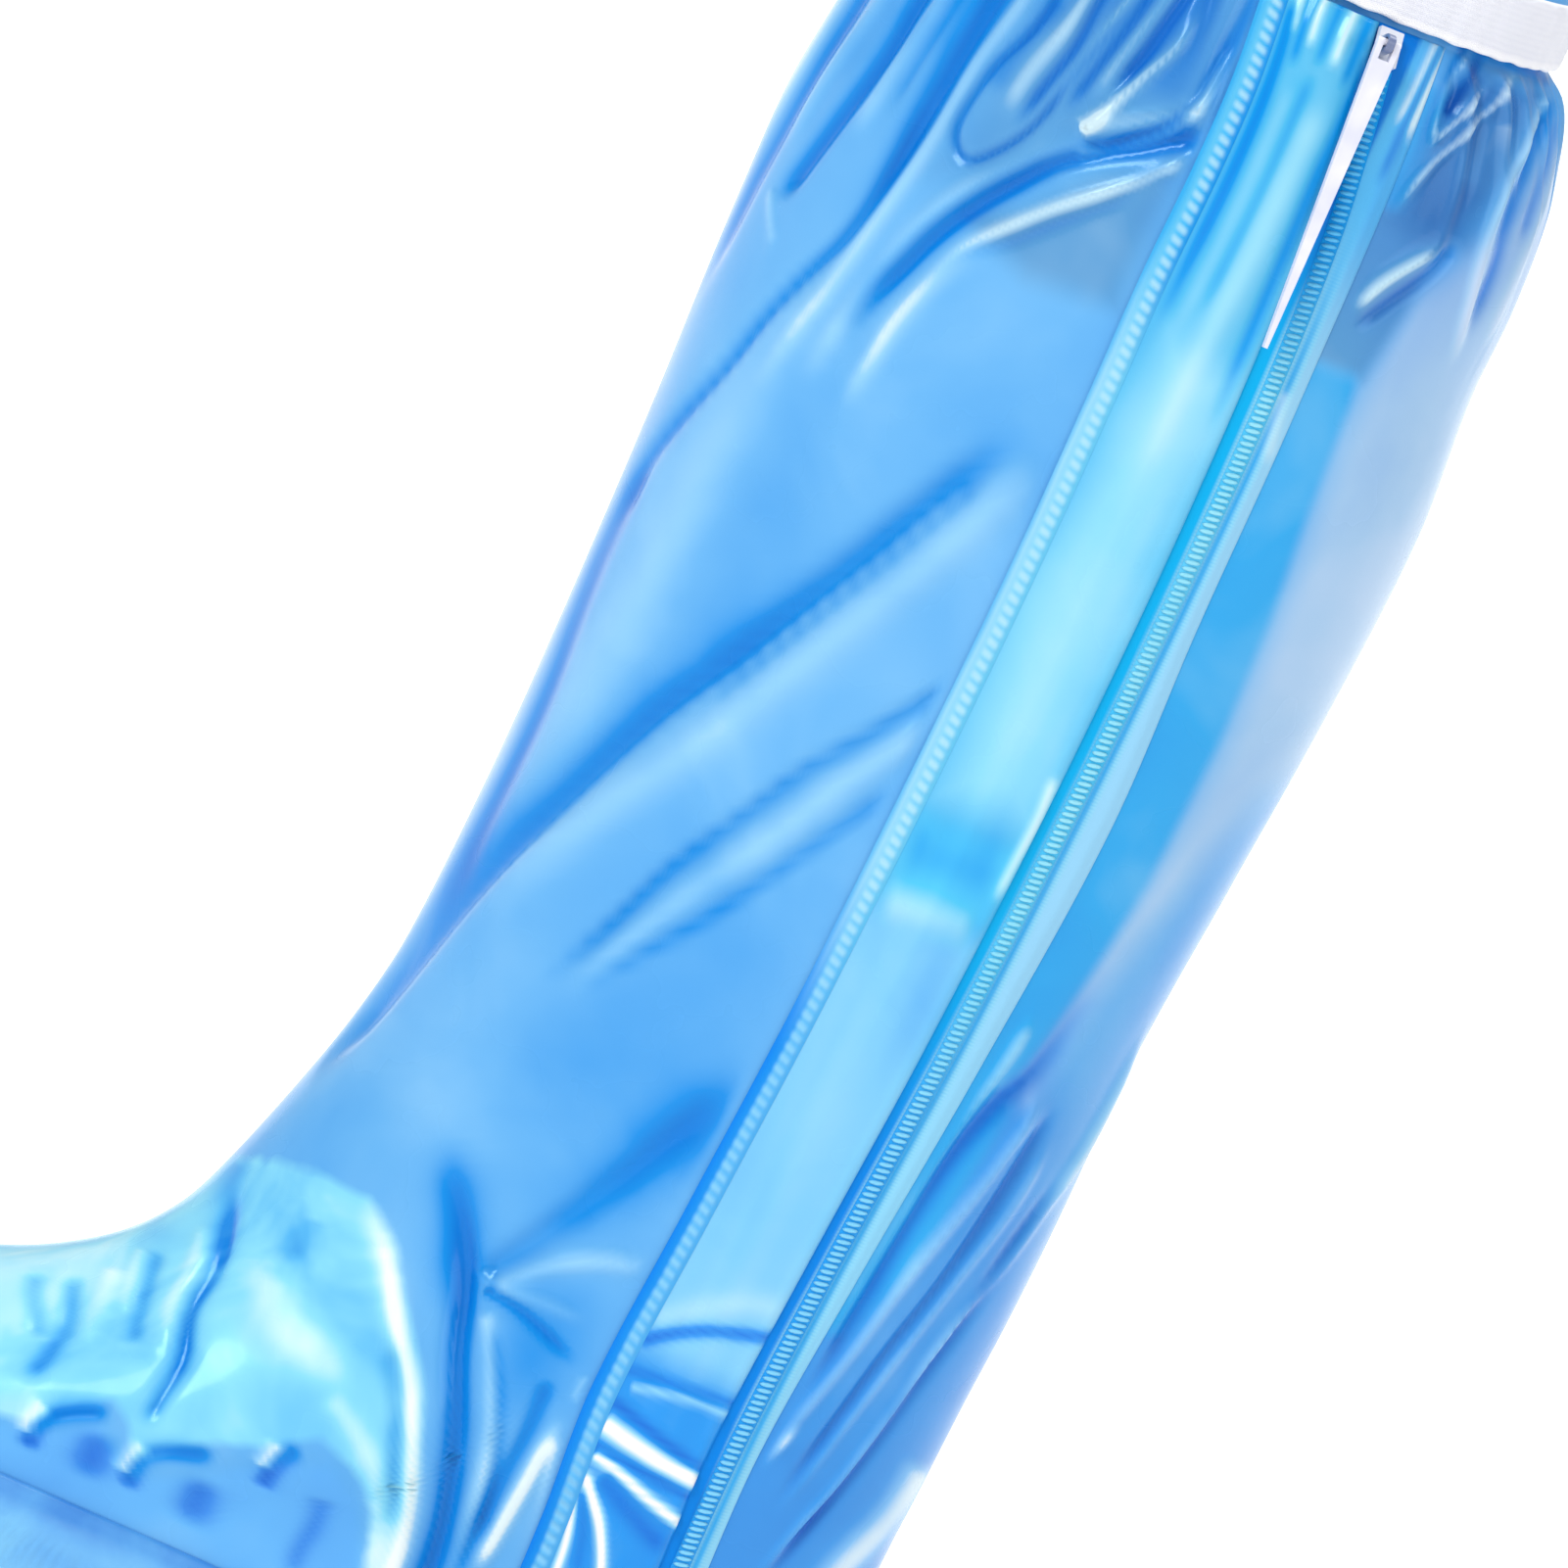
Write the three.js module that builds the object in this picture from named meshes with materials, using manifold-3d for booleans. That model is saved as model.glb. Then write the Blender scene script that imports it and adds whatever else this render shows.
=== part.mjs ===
// A tall zipped shoe cover of PVC film that stands on its own sole.
// Millimetres, +Z up. The toe points to -X and the zip side faces -Y.
import * as THREE from 'three';
import { mergeVertices } from 'three/addons/utils/BufferGeometryUtils.js';
import Module from 'manifold-3d';

const wasm = await Module();
wasm.setup();

// Driving dimensions
const FILM = 1.5;
const FLAP_THICKNESS = 1;
const TAPE_THICKNESS = 1;
const SEAM_THICKNESS = 1;
const SEAM_WIDTH = 5.5;
const COIL_WIDTH = 3.6;
const COIL_HEIGHT = 1.7;
const GAP = 0.4;
const ZIP_SIDE_COLUMNS = 28;
const FAR_SIDE_COLUMNS = 20;
const COLUMNS = ZIP_SIDE_COLUMNS + FAR_SIDE_COLUMNS;

const SOLE_TOP = 48;
const SOLE_WALL = 2.4;
const SOLE_FLOOR = 4;
const LUG_HEIGHT = 2;
const LUG_LENGTH = 9;
const LUG_PITCH = 18;
const LUG_MARGIN = 9;
const LUG_BLANK_WIDTH = 200;
const LUG_SINK = 1;
const FILM_BOTTOM = LUG_HEIGHT + SOLE_FLOOR + GAP;
const FOOTPRINT_LEVEL = 16;

const BAND_BOTTOM = 437;
const BAND_HEIGHT = 14.5;
const BAND_THICKNESS = 2.2;
const BAND_CORNER = 0.7;
const BAND_LEVEL = 440;
const FILM_TOP = BAND_BOTTOM + BAND_HEIGHT - 1;

const ZIP_BOTTOM = 53;
const ZIP_TOP = 435.6;
const COIL_TOP = 427.6;

// Horizontal sections of the film: the outline's front and rear, its half width and how square it is
const SECTIONS = [
  { z: 6, front: -149, rear: 144, half: 53, power: 2.6 },
  { z: 16, front: -152, rear: 145.5, half: 55, power: 2.6 },
  { z: 26, front: -150, rear: 146.2, half: 55.5, power: 2.6 },
  { z: 35, front: -145.5, rear: 146.2, half: 55, power: 2.55 },
  { z: 43, front: -138, rear: 146, half: 54, power: 2.5 },
  { z: 51, front: -126, rear: 145.8, half: 52.5, power: 2.4 },
  { z: 58.5, front: -108, rear: 145.5, half: 51.5, power: 2.35 },
  { z: 66, front: -85, rear: 145.2, half: 50.5, power: 2.3 },
  { z: 73, front: -62.5, rear: 145, half: 50, power: 2.25 },
  { z: 80, front: -45.5, rear: 144.8, half: 49.5, power: 2.2 },
  { z: 87, front: -34, rear: 144.6, half: 49, power: 2.15 },
  { z: 95, front: -24.5, rear: 144.6, half: 48.7, power: 2.1 },
  { z: 105, front: -17, rear: 144.8, half: 48.5, power: 2.1 },
  { z: 116, front: -12.3, rear: 145.3, half: 48.3, power: 2.05 },
  { z: 136, front: -6, rear: 146, half: 48.6, power: 2.05 },
  { z: 156, front: -0.8, rear: 147, half: 49.5, power: 2.05 },
  { z: 176, front: 2.3, rear: 147.5, half: 50.4, power: 2.05 },
  { z: 217, front: 3.5, rear: 147.7, half: 52, power: 2.05 },
  { z: 257, front: 3, rear: 150.5, half: 53, power: 2.05 },
  { z: 298, front: 1.8, rear: 153.4, half: 54, power: 2.05 },
  { z: 338, front: 0, rear: 154.8, half: 54.5, power: 2.05 },
  { z: 369, front: -0.4, rear: 152.5, half: 54.5, power: 2.05 },
  { z: 389, front: 1.6, rear: 152.7, half: 54, power: 2.05 },
  { z: 409, front: 4, rear: 150.8, half: 52.7, power: 2.05 },
  { z: 419, front: 6, rear: 148, half: 51, power: 2.05 },
  { z: 429, front: 9.5, rear: 144, half: 48.6, power: 2.05 },
  { z: 434.5, front: 13.5, rear: 139.5, half: 46.4, power: 2.05 },
  { z: 436, front: 15, rear: 138, half: 45.6, power: 2.05 },
  { z: 452, front: 15, rear: 138, half: 45.6, power: 2.05 },
];

// Width of the foot along its length, 0 at the toe and 1 at the heel
const FOOTPRINT = [
  { at: 0, width: 1.12 },
  { at: 0.27, width: 1.04 },
  { at: 0.58, width: 0.8 },
  { at: 0.82, width: 0.82 },
  { at: 1, width: 0.95 },
];
const FOOT_SHAPE_FULL_BELOW = 55;
const FOOT_SHAPE_GONE_ABOVE = 115;
const TOE_SWING = 7;

// Heights of the film's rings, bottom to top
const LEVELS = [
  16, 26, 35, 43, 49, 54, 59, 63.5, 68, 73, 79, 85, 92, 100, 109, 119, 132, 148, 168, 190, 214,
  238, 262, 286, 308, 328, 346, 363, 378, 391, 402, 411, 419, 427, 432, 434.5, 436, FILM_TOP,
];

// Lines of the zip side, as X positions at each height
const ZIP_LINES = [
  { z: 40, seam: 81.5, edge: 104.5, coil: 108.2, facing: 114 },
  { z: 86, seam: 80, edge: 103.4, coil: 107.2, facing: 112.6 },
  { z: 116, seam: 78, edge: 102.5, coil: 107, facing: 112 },
  { z: 157, seam: 80, edge: 104.5, coil: 108.8, facing: 115 },
  { z: 207, seam: 82.5, edge: 107.5, coil: 111.8, facing: 119.3 },
  { z: 263, seam: 84, edge: 109.5, coil: 113.8, facing: 122.8 },
  { z: 309, seam: 84.5, edge: 110, coil: 114.7, facing: 121.4 },
  { z: 346, seam: 84, edge: 109.5, coil: 114.6, facing: 121 },
  { z: 371, seam: 83.5, edge: 108.6, coil: 113.9, facing: 120.4 },
  { z: 395, seam: 83.8, edge: 107.2, coil: 112.3, facing: 119.8 },
  { z: 415, seam: 83.3, edge: 105.6, coil: 109.6, facing: 118.8 },
  { z: 437, seam: 81, edge: 102.6, coil: 106, facing: 117 },
];
const TAPE_UNDER_FLAP = 9;
const FLAP_RAMP_START = 17;
const FLAP_RAMP_END = 11;
const RIDGE_MARGIN = 7;
const FOLD_STARTS_FROM_ZIP = { before: 3, after: 1 };
const FOLD_GROWS_OVER = 5;
const FOLD_RISE_ABOVE_SOLE = { from: 1, to: 12 };
const STRAIGHT_FROM = 165;
const STRAIGHT_TO = 395;

// The folds are drawn in the side view, seen from the zip side and looking down by this angle
const VIEW_TILT = THREE.MathUtils.degToRad(9);
const VIEW_LEVEL = 237;

// A fold grows over the first part of its path and dies away over the last part
const FOLD_FULL_AFTER = 0.16;
const FOLD_FULL_UNTIL = 0.8;

// Folds die away near the heel and the toe line, given as the sine of the angle round the section
const TURN_STARTS = 0.05;
const TURN_ENDS = 0.45;

// Folds of the film on the zip side: ridges have a positive rise and valleys a negative one
const FOLDS = [
  { path: [[96, 397], [62, 369], [47, 352], [39, 325], [33, 295]], rise: 2.6, spread: 5 },
  { path: [[92, 398], [58, 374], [42, 354], [33, 328]], rise: -2.6, spread: 5.5 },
  { path: [[96, 408], [62, 385], [45, 368], [34, 342], [27, 295]], rise: 2.2, spread: 5 },
  { path: [[30, 410], [27, 370], [20, 335], [10, 297], [4, 270]], rise: -2.4, spread: 5.5 },
  { path: [[20, 400], [13, 368], [8, 335]], rise: -1.8, spread: 5 },
  { path: [[90, 350], [60, 299], [40, 261], [24, 224], [4, 168]], rise: -3.2, spread: 6 },
  { path: [[88, 335], [64, 283], [44, 240], [24, 186]], rise: 2.6, spread: 6.5 },
  { path: [[92, 285], [66, 237], [50, 206], [34, 180]], rise: 1.8, spread: 7 },
  { path: [[32, 145], [42, 120], [50, 98], [58, 78], [61, 55]], rise: -3.4, spread: 6 },
  { path: [[12, 128], [31, 113], [45, 93], [53, 72], [54, 48]], rise: 2.6, spread: 5.5 },
  { path: [[72, 180], [60, 148], [48, 122]], rise: -2.4, spread: 7 },
  { path: [[48, 122], [56, 104], [62, 84], [64, 62]], rise: 1.8, spread: 5 },
  { path: [[68, 108], [73, 90], [77, 66]], rise: 1.8, spread: 5 },
  { path: [[130, 222], [121, 178], [115, 130], [112, 112]], rise: -2, spread: 5.5 },
  { path: [[146, 215], [139, 150], [130, 108], [124, 80]], rise: 2.2, spread: 5.5 },
  { path: [[-9, 120], [-5, 98], [-4, 66]], rise: -1.8, spread: 5 },
];

// Softer folds of the film on the side away from the zip
const FAR_FOLDS = [
  { path: [[100, 400], [66, 350], [40, 290], [22, 220]], rise: -2, spread: 8 },
  { path: [[120, 380], [92, 320], [62, 250], [38, 180]], rise: 2, spread: 9 },
  { path: [[70, 165], [52, 120], [60, 70]], rise: -2.4, spread: 8 },
  { path: [[110, 190], [92, 130], [84, 80]], rise: 1.8, spread: 8 },
];

// Cross folds of the flap at the ankle
const FLAP_FOLDS = [
  { path: [[76, 118], [90, 128], [106, 134]], rise: 0.9, spread: 4 },
  { path: [[76, 104], [90, 102], [106, 100]], rise: 1.5, spread: 3.6 },
  { path: [[76, 98], [90, 94], [106, 88]], rise: 1.1, spread: 3.4 },
  { path: [[76, 96], [88, 84], [96, 66]], rise: 1.2, spread: 3.6 },
];

const PLEATS = COLUMNS / 4;
const PLEAT_DEPTH = 2;
const PLEAT_TOP = 435;
const PLEAT_FULL = 426;
const PLEAT_FADE = 26;

// The slider's pull
const SLIDER_Z = 433.4;
const SLIDER_X = 106.2;
const SLIDER = {
  left: 0.9, right: 4.3, above: 4.4, below: 3.2, thickness: 1.6, lugWidth: 1.6, lugRadius: 1.9,
};
const HINGE_LIFT = 5.2;
const HINGE_BORE = 1.15;
const PULL_BAR = 0.75;
const PULL_THICKNESS = 1.4;
const PULL_TIP = { x: 109.3, z: 371, lift: 7.5 };
const PULL_OUTLINE = [
  { down: 0, half: 2.6 },
  { down: 9, half: 2.3 },
  { down: 17, half: 1.75 },
  { down: 26, half: 1.45 },
  { down: 36, half: 1.15 },
  { down: 50, half: 0.85 },
  { down: 63, half: 0.65 },
  { down: 66, half: 0.4 },
];
const PULL_WINDOW = { bottom: 3.6, half: 1.25, above: 1 };

const COLOURS = {
  film: 0x57a8f0,
  sole: 0x4f9ce0,
  band: 0xeeeff6,
  flap: 0x93dcfb,
  seam: 0xa6e4fb,
  tape: 0xb8e4fa,
  coil: 0x8fd8fa,
  slider: 0xd9dbe2,
  pull: 0xf2f2f8,
};

const { clamp, lerp, smoothstep } = THREE.MathUtils;

// Value of one column of a table at a position, smooth through every row
function along(table, key, column, position) {
  const last = table.length - 1;
  if (position <= table[0][key]) return table[0][column];
  if (position >= table[last][key]) return table[last][column];
  const i = table.findIndex((row, index) => index < last && position < table[index + 1][key]);
  const rows = [table[Math.max(i - 1, 0)], table[i], table[i + 1], table[Math.min(i + 2, last)]];
  const span = rows[2][key] - rows[1][key];
  const t = (position - rows[1][key]) / span;
  const slopeStart = (rows[2][column] - rows[0][column]) / (rows[2][key] - rows[0][key]) * span;
  const slopeEnd = (rows[3][column] - rows[1][column]) / (rows[3][key] - rows[1][key]) * span;
  const cubic = 2 * rows[1][column] - 2 * rows[2][column] + slopeStart + slopeEnd;
  const square = 3 * rows[2][column] - 3 * rows[1][column] - 2 * slopeStart - slopeEnd;
  return ((cubic * t + square) * t + slopeStart) * t + rows[1][column];
}

const zipLine = (name, z) => along(ZIP_LINES, 'z', name, z);

// The film's section at one height
function sectionAt(z) {
  const front = along(SECTIONS, 'z', 'front', z);
  const rear = along(SECTIONS, 'z', 'rear', z);
  return {
    middle: (front + rear) / 2,
    reach: (rear - front) / 2,
    half: along(SECTIONS, 'z', 'half', z),
    power: along(SECTIONS, 'z', 'power', z),
    foot: 1 - smoothstep(z, FOOT_SHAPE_FULL_BELOW, FOOT_SHAPE_GONE_ABOVE),
  };
}

// How the foot's shape widens and shifts a section at one place along it
function footAt(section, x) {
  const at = (x - section.middle) / (2 * section.reach) + 0.5;
  const width = along(FOOTPRINT, 'at', 'width', at);
  return {
    width: lerp(1, width, section.foot),
    shift: TOE_SWING * (1 - at) ** 2 * section.foot,
  };
}

// Point of the smooth film at an angle round the section, 0 at the heel and growing towards +Y
function ringPoint(angle, z) {
  const section = sectionAt(z);
  const cos = Math.cos(angle);
  const sin = Math.sin(angle);
  const x = section.middle + section.reach * Math.sign(cos) * Math.abs(cos) ** (2 / section.power);
  const foot = footAt(section, x);
  const y = section.half * foot.width * Math.sign(sin) * Math.abs(sin) ** (2 / section.power);
  return new THREE.Vector3(x, y + foot.shift, z);
}

// Y of the smooth film on the zip side
function zipSideY(x, z) {
  const section = sectionAt(z);
  const t = clamp(Math.abs(x - section.middle) / section.reach, 0, 1);
  const foot = footAt(section, x);
  return foot.shift - section.half * foot.width * (1 - t ** section.power) ** (1 / section.power);
}

const STEP = 0.5;

// Direction out of the smooth film on the zip side, 1 long along -Y
function zipSideSlope(x, z) {
  const slopeX = (zipSideY(x + STEP, z) - zipSideY(x - STEP, z)) / (2 * STEP);
  const slopeZ = (zipSideY(x, z + STEP) - zipSideY(x, z - STEP)) / (2 * STEP);
  return new THREE.Vector3(slopeX, -1, slopeZ);
}

// Point straight out of the zip side, at a distance from the smooth film
function zipSidePoint(x, z, lift) {
  return new THREE.Vector3(x, zipSideY(x, z) - lift * zipSideSlope(x, z).length(), z);
}

// Height of a point in the tilted side view in which the folds are drawn
function viewHeight(point) {
  return VIEW_LEVEL + (point.z - VIEW_LEVEL) * Math.cos(VIEW_TILT) + point.y * Math.sin(VIEW_TILT);
}

// Rise of one fold at a place in the side view: a rounded ridge along its path, fading at both ends
function foldRise(fold, x, height) {
  const points = fold.path.map(([px, py]) => new THREE.Vector2(px, py));
  const place = new THREE.Vector2(x, height);
  let best = Infinity;
  let travelled = 0;
  let nearest = 0;
  for (let i = 1; i < points.length; i += 1) {
    const step = points[i].clone().sub(points[i - 1]);
    const length = step.length();
    const t = clamp(place.clone().sub(points[i - 1]).dot(step) / length ** 2, 0, 1);
    const distance = place.distanceTo(points[i - 1].clone().addScaledVector(step, t));
    if (distance < best) {
      best = distance;
      nearest = travelled + t * length;
    }
    travelled += length;
  }
  const share = nearest / travelled;
  const fade = smoothstep(share, 0, FOLD_FULL_AFTER) * (1 - smoothstep(share, FOLD_FULL_UNTIL, 1));
  return fold.rise * fade * Math.exp(-((best / fold.spread) ** 2));
}

function foldsRise(folds, x, height) {
  return folds.reduce((sum, fold) => sum + foldRise(fold, x, height), 0);
}

// The film lies smooth under the sewn zip parts, and ridges stop a little before them
function clearOfZip(x, z, rise) {
  const margin = rise > 0 ? RIDGE_MARGIN : 0;
  const { before, after } = FOLD_STARTS_FROM_ZIP;
  const grown = (distance, start) => smoothstep(distance, start + margin, start + margin + FOLD_GROWS_OVER);
  return Math.max(grown(zipLine('seam', z) - x, before), grown(x - zipLine('facing', z), after));
}

// The film lies smooth inside the sole's wall and under the band
function clearOfEdges(z) {
  const { from, to } = FOLD_RISE_ABOVE_SOLE;
  return smoothstep(z, SOLE_TOP + from, SOLE_TOP + to) * (1 - smoothstep(z, PLEAT_FULL, PLEAT_TOP));
}

function pleatRise(column, z) {
  const fade = z > PLEAT_FULL
    ? 1 - smoothstep(z, PLEAT_FULL, PLEAT_TOP)
    : Math.exp(-(((PLEAT_FULL - z) / PLEAT_FADE) ** 2));
  return PLEAT_DEPTH * fade * Math.cos(2 * Math.PI * PLEATS * column / COLUMNS);
}

// The angle of a column: the zip side has closer columns than the far side
function columnAngle(column) {
  if (column < FAR_SIDE_COLUMNS) return Math.PI * column / FAR_SIDE_COLUMNS;
  return Math.PI * (1 + (column - FAR_SIDE_COLUMNS) / ZIP_SIDE_COLUMNS);
}

// Point of the folded film's outer face
function filmPoint(column, z) {
  const angle = columnAngle(column);
  const point = ringPoint(angle, z);
  const onZipSide = point.y < 0;
  const turn = smoothstep(Math.abs(Math.sin(angle)), TURN_STARTS, TURN_ENDS);
  const folds = onZipSide ? FOLDS : FAR_FOLDS;
  const height = onZipSide ? viewHeight(point) : point.z;
  const rise = turn * foldsRise(folds, point.x, height) * clearOfEdges(z) + pleatRise(column, z);
  const clear = onZipSide ? clearOfZip(point.x, z, rise) : 1;
  return point.addScaledVector(ringNormal(angle, z), rise * clear);
}

// Outward direction of the smooth film
function ringNormal(angle, z) {
  const turn = 0.01;
  const round = ringPoint(angle + turn, z).sub(ringPoint(angle - turn, z));
  const rise = ringPoint(angle, z + STEP).sub(ringPoint(angle, z - STEP));
  return round.cross(rise).normalize();
}

// One ring of points at a height, moved out across the section of a level
function ring(z, outward, level = z) {
  const points = [];
  for (let column = 0; column < COLUMNS; column += 1) {
    const angle = columnAngle(column);
    const normal = ringNormal(angle, level).setZ(0).normalize();
    points.push(ringPoint(angle, level).addScaledVector(normal, outward).setZ(z));
  }
  return points;
}

// One ring of the folded film, moved in by the wall for the inner face
function filmRing(z, inward) {
  const points = [];
  for (let column = 0; column < COLUMNS; column += 1) {
    points.push(filmPoint(column, z).addScaledVector(ringNormal(columnAngle(column), z), -inward));
  }
  return points;
}

function geometryFrom(vertices, triangles) {
  const geometry = new THREE.BufferGeometry();
  const positions = vertices.flatMap((vertex) => vertex.toArray());
  geometry.setAttribute('position', new THREE.Float32BufferAttribute(positions, 3));
  geometry.setIndex(triangles);
  geometry.computeVertexNormals();
  return geometry;
}

// Closed skin over a stack of rings of the same count, capped by a point at each end
function skin(rings, firstPoint, lastPoint) {
  const count = rings[0].length;
  const vertices = [firstPoint, ...rings.flat(), lastPoint];
  const triangles = [];
  const index = (row, column) => 1 + row * count + column % count;
  for (let column = 0; column < count; column += 1) {
    triangles.push(0, index(0, column + 1), index(0, column));
    for (let row = 1; row < rings.length; row += 1) {
      triangles.push(index(row - 1, column), index(row - 1, column + 1), index(row, column + 1));
      triangles.push(index(row - 1, column), index(row, column + 1), index(row, column));
    }
    triangles.push(index(rings.length - 1, column), index(rings.length - 1, column + 1), vertices.length - 1);
  }
  return geometryFrom(vertices, triangles);
}

// Closed loop of rings: the last ring joins the first
function hoop(rings) {
  const count = rings[0].length;
  const triangles = [];
  const index = (row, column) => (row % rings.length) * count + column % count;
  for (let column = 0; column < count; column += 1) {
    for (let row = 0; row < rings.length; row += 1) {
      triangles.push(index(row, column), index(row, column + 1), index(row + 1, column + 1));
      triangles.push(index(row, column), index(row + 1, column + 1), index(row + 1, column));
    }
  }
  return geometryFrom(rings.flat(), triangles);
}

const middleOf = (z) => new THREE.Vector3(sectionAt(z).middle, 0, z);

// Rounded lower edge of the film's outer and inner face: how far up and how far in each ring lies
const OUTER_EDGE = [{ up: 0, inset: 6 }, { up: 2, inset: 2.4 }, { up: 5, inset: 0.6 }];
const INNER_EDGE = [{ up: 2, inset: 4.2 }, { up: 0, inset: 8 }];

// The film boot, one hollow shell open at the top
function upperGeometry() {
  const edge = (rows, bottom) => rows.map((row) => ring(bottom + row.up, -row.inset, FOOTPRINT_LEVEL));
  const innerBottom = FILM_BOTTOM + FILM;
  const rings = [
    ...edge(OUTER_EDGE, FILM_BOTTOM),
    ...LEVELS.map((z) => filmRing(z, 0)),
    ...LEVELS.slice().reverse().map((z) => filmRing(z, FILM)),
    ...edge(INNER_EDGE, innerBottom),
  ];
  return skin(rings, middleOf(FILM_BOTTOM), middleOf(innerBottom));
}

function solid(geometry) {
  const bare = geometry.clone();
  bare.deleteAttribute('normal');
  bare.deleteAttribute('uv');
  const merged = mergeVertices(bare, 1e-4);
  const vertProperties = new Float32Array(merged.attributes.position.array);
  const triVerts = new Uint32Array(merged.index.array);
  return new wasm.Manifold(new wasm.Mesh({ numProp: 3, vertProperties, triVerts }));
}

function geometryOf(manifold) {
  const mesh = manifold.getMesh();
  const geometry = new THREE.BufferGeometry();
  geometry.setAttribute('position', new THREE.BufferAttribute(mesh.vertProperties, 3));
  geometry.setIndex(new THREE.BufferAttribute(mesh.triVerts, 1));
  geometry.computeVertexNormals();
  return geometry;
}

// Solid plug of the sole's footprint between two heights, used to clip the lugs
function footprintPlug(inset, low, high) {
  const rings = [low, high].map((z) => ring(z, -inset, FOOTPRINT_LEVEL));
  return solid(skin(rings, middleOf(low), middleOf(high)));
}

const SOLE_EDGE = { inset: 2, height: 1.5 };

// The sole: a tray with a low wall that follows the film, and cross lugs under it
function soleGeometry() {
  const wall = GAP + SOLE_WALL;
  const floor = LUG_HEIGHT + SOLE_FLOOR;
  const levels = [...LEVELS.filter((z) => z < SOLE_TOP), SOLE_TOP];
  const rings = [
    ring(LUG_HEIGHT, -SOLE_EDGE.inset, FOOTPRINT_LEVEL),
    ring(LUG_HEIGHT + SOLE_EDGE.height, wall, FOOTPRINT_LEVEL),
    ...levels.map((z) => ring(z, wall)),
    ...levels.slice().reverse().map((z) => ring(z, GAP)),
    ring(floor, GAP, FOOTPRINT_LEVEL),
  ];
  const tray = solid(skin(rings, middleOf(LUG_HEIGHT), middleOf(floor)));
  const lugTop = LUG_HEIGHT + LUG_SINK;
  const clip = footprintPlug(LUG_MARGIN, 0, lugTop);
  const lugCount = Math.floor(sectionAt(FOOTPRINT_LEVEL).reach / LUG_PITCH);
  let lugged = tray;
  for (let i = -lugCount; i <= lugCount; i += 1) {
    const box = new THREE.BoxGeometry(LUG_LENGTH, LUG_BLANK_WIDTH, lugTop);
    box.translate(i * LUG_PITCH, 0, lugTop / 2);
    lugged = lugged.add(solid(box).intersect(clip));
  }
  return geometryOf(lugged);
}

// The elastic band: a ring of rounded section round the film's gathered top
function bandGeometry() {
  const top = BAND_BOTTOM + BAND_HEIGHT;
  const outer = GAP + BAND_THICKNESS;
  return hoop([
    ring(BAND_BOTTOM, outer - BAND_CORNER, BAND_LEVEL),
    ring(BAND_BOTTOM + BAND_CORNER, outer, BAND_LEVEL),
    ring(top - BAND_CORNER, outer, BAND_LEVEL),
    ring(top, outer - BAND_CORNER, BAND_LEVEL),
    ring(top, GAP, BAND_LEVEL),
    ring(BAND_BOTTOM, GAP, BAND_LEVEL),
  ]);
}

// Flat strip on the zip side between two lines, its underside and top given as lifts off the film
function stripGeometry({ from, to, low, high, across, under, over }) {
  const straight = (z) => z > STRAIGHT_FROM && z < STRAIGHT_TO;
  const between = LEVELS.filter((z, i) => z > low + 3 && z < high - 3 && (i % 2 === 0 || !straight(z)));
  const levels = [low, ...between, high];
  const faces = [under, over].map((lift) => levels.map((z) => {
    const row = [];
    for (let i = 0; i <= across; i += 1) {
      const share = i / across;
      const x = lerp(from(z), to(z), share);
      row.push(zipSidePoint(x, z, lift(x, z, share)));
    }
    return row;
  }));
  const vertices = faces.flat(2);
  const width = across + 1;
  const index = (face, row, column) => face * levels.length * width + row * width + column;
  const triangles = [];
  const quad = (a, b, c, d) => triangles.push(a, b, c, a, c, d);
  for (let row = 1; row < levels.length; row += 1) {
    for (let column = 1; column < width; column += 1) {
      const corners = (face) => [
        index(face, row - 1, column - 1),
        index(face, row - 1, column),
        index(face, row, column),
        index(face, row, column - 1),
      ];
      quad(...corners(0).reverse());
      quad(...corners(1));
    }
    quad(index(0, row - 1, 0), index(1, row - 1, 0), index(1, row, 0), index(0, row, 0));
    quad(index(1, row - 1, across), index(0, row - 1, across), index(0, row, across), index(1, row, across));
  }
  const topRow = levels.length - 1;
  for (let column = 1; column < width; column += 1) {
    quad(index(0, 0, column - 1), index(0, 0, column), index(1, 0, column), index(1, 0, column - 1));
    quad(
      index(1, topRow, column - 1),
      index(1, topRow, column),
      index(0, topRow, column),
      index(0, topRow, column - 1),
    );
  }
  return geometryFrom(vertices, triangles);
}

// Underside of the flap: low along its seam, and raised over the tape at its free edge
function flapUnder(x, z) {
  const ramp = smoothstep(x, zipLine('edge', z) - FLAP_RAMP_START, zipLine('edge', z) - FLAP_RAMP_END);
  const height = viewHeight(zipSidePoint(x, z, 0));
  const folds = foldsRise(FLAP_FOLDS, x, height) * smoothstep(z, ZIP_BOTTOM, ZIP_BOTTOM + 15);
  const past = smoothstep(x - zipLine('seam', z) - SEAM_WIDTH / 2, 1.5, 6);
  return GAP + ramp * (TAPE_THICKNESS + GAP) + folds * past;
}

const seamStart = (z) => zipLine('seam', z) - SEAM_WIDTH / 2;
const seamEnd = (z) => zipLine('seam', z) + SEAM_WIDTH / 2;

const flap = stripGeometry({
  from: seamStart,
  to: (z) => zipLine('edge', z),
  low: ZIP_BOTTOM,
  high: ZIP_TOP,
  across: 6,
  under: flapUnder,
  over: (x, z) => flapUnder(x, z) + FLAP_THICKNESS,
});

const seam = stripGeometry({
  from: seamStart,
  to: seamEnd,
  low: ZIP_BOTTOM + 1,
  high: ZIP_TOP - 0.6,
  across: 3,
  under: () => GAP + FLAP_THICKNESS + GAP,
  over: (x, z, share) => GAP + FLAP_THICKNESS + GAP + SEAM_THICKNESS * (0.5 + 2 * share * (1 - share)),
});

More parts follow.
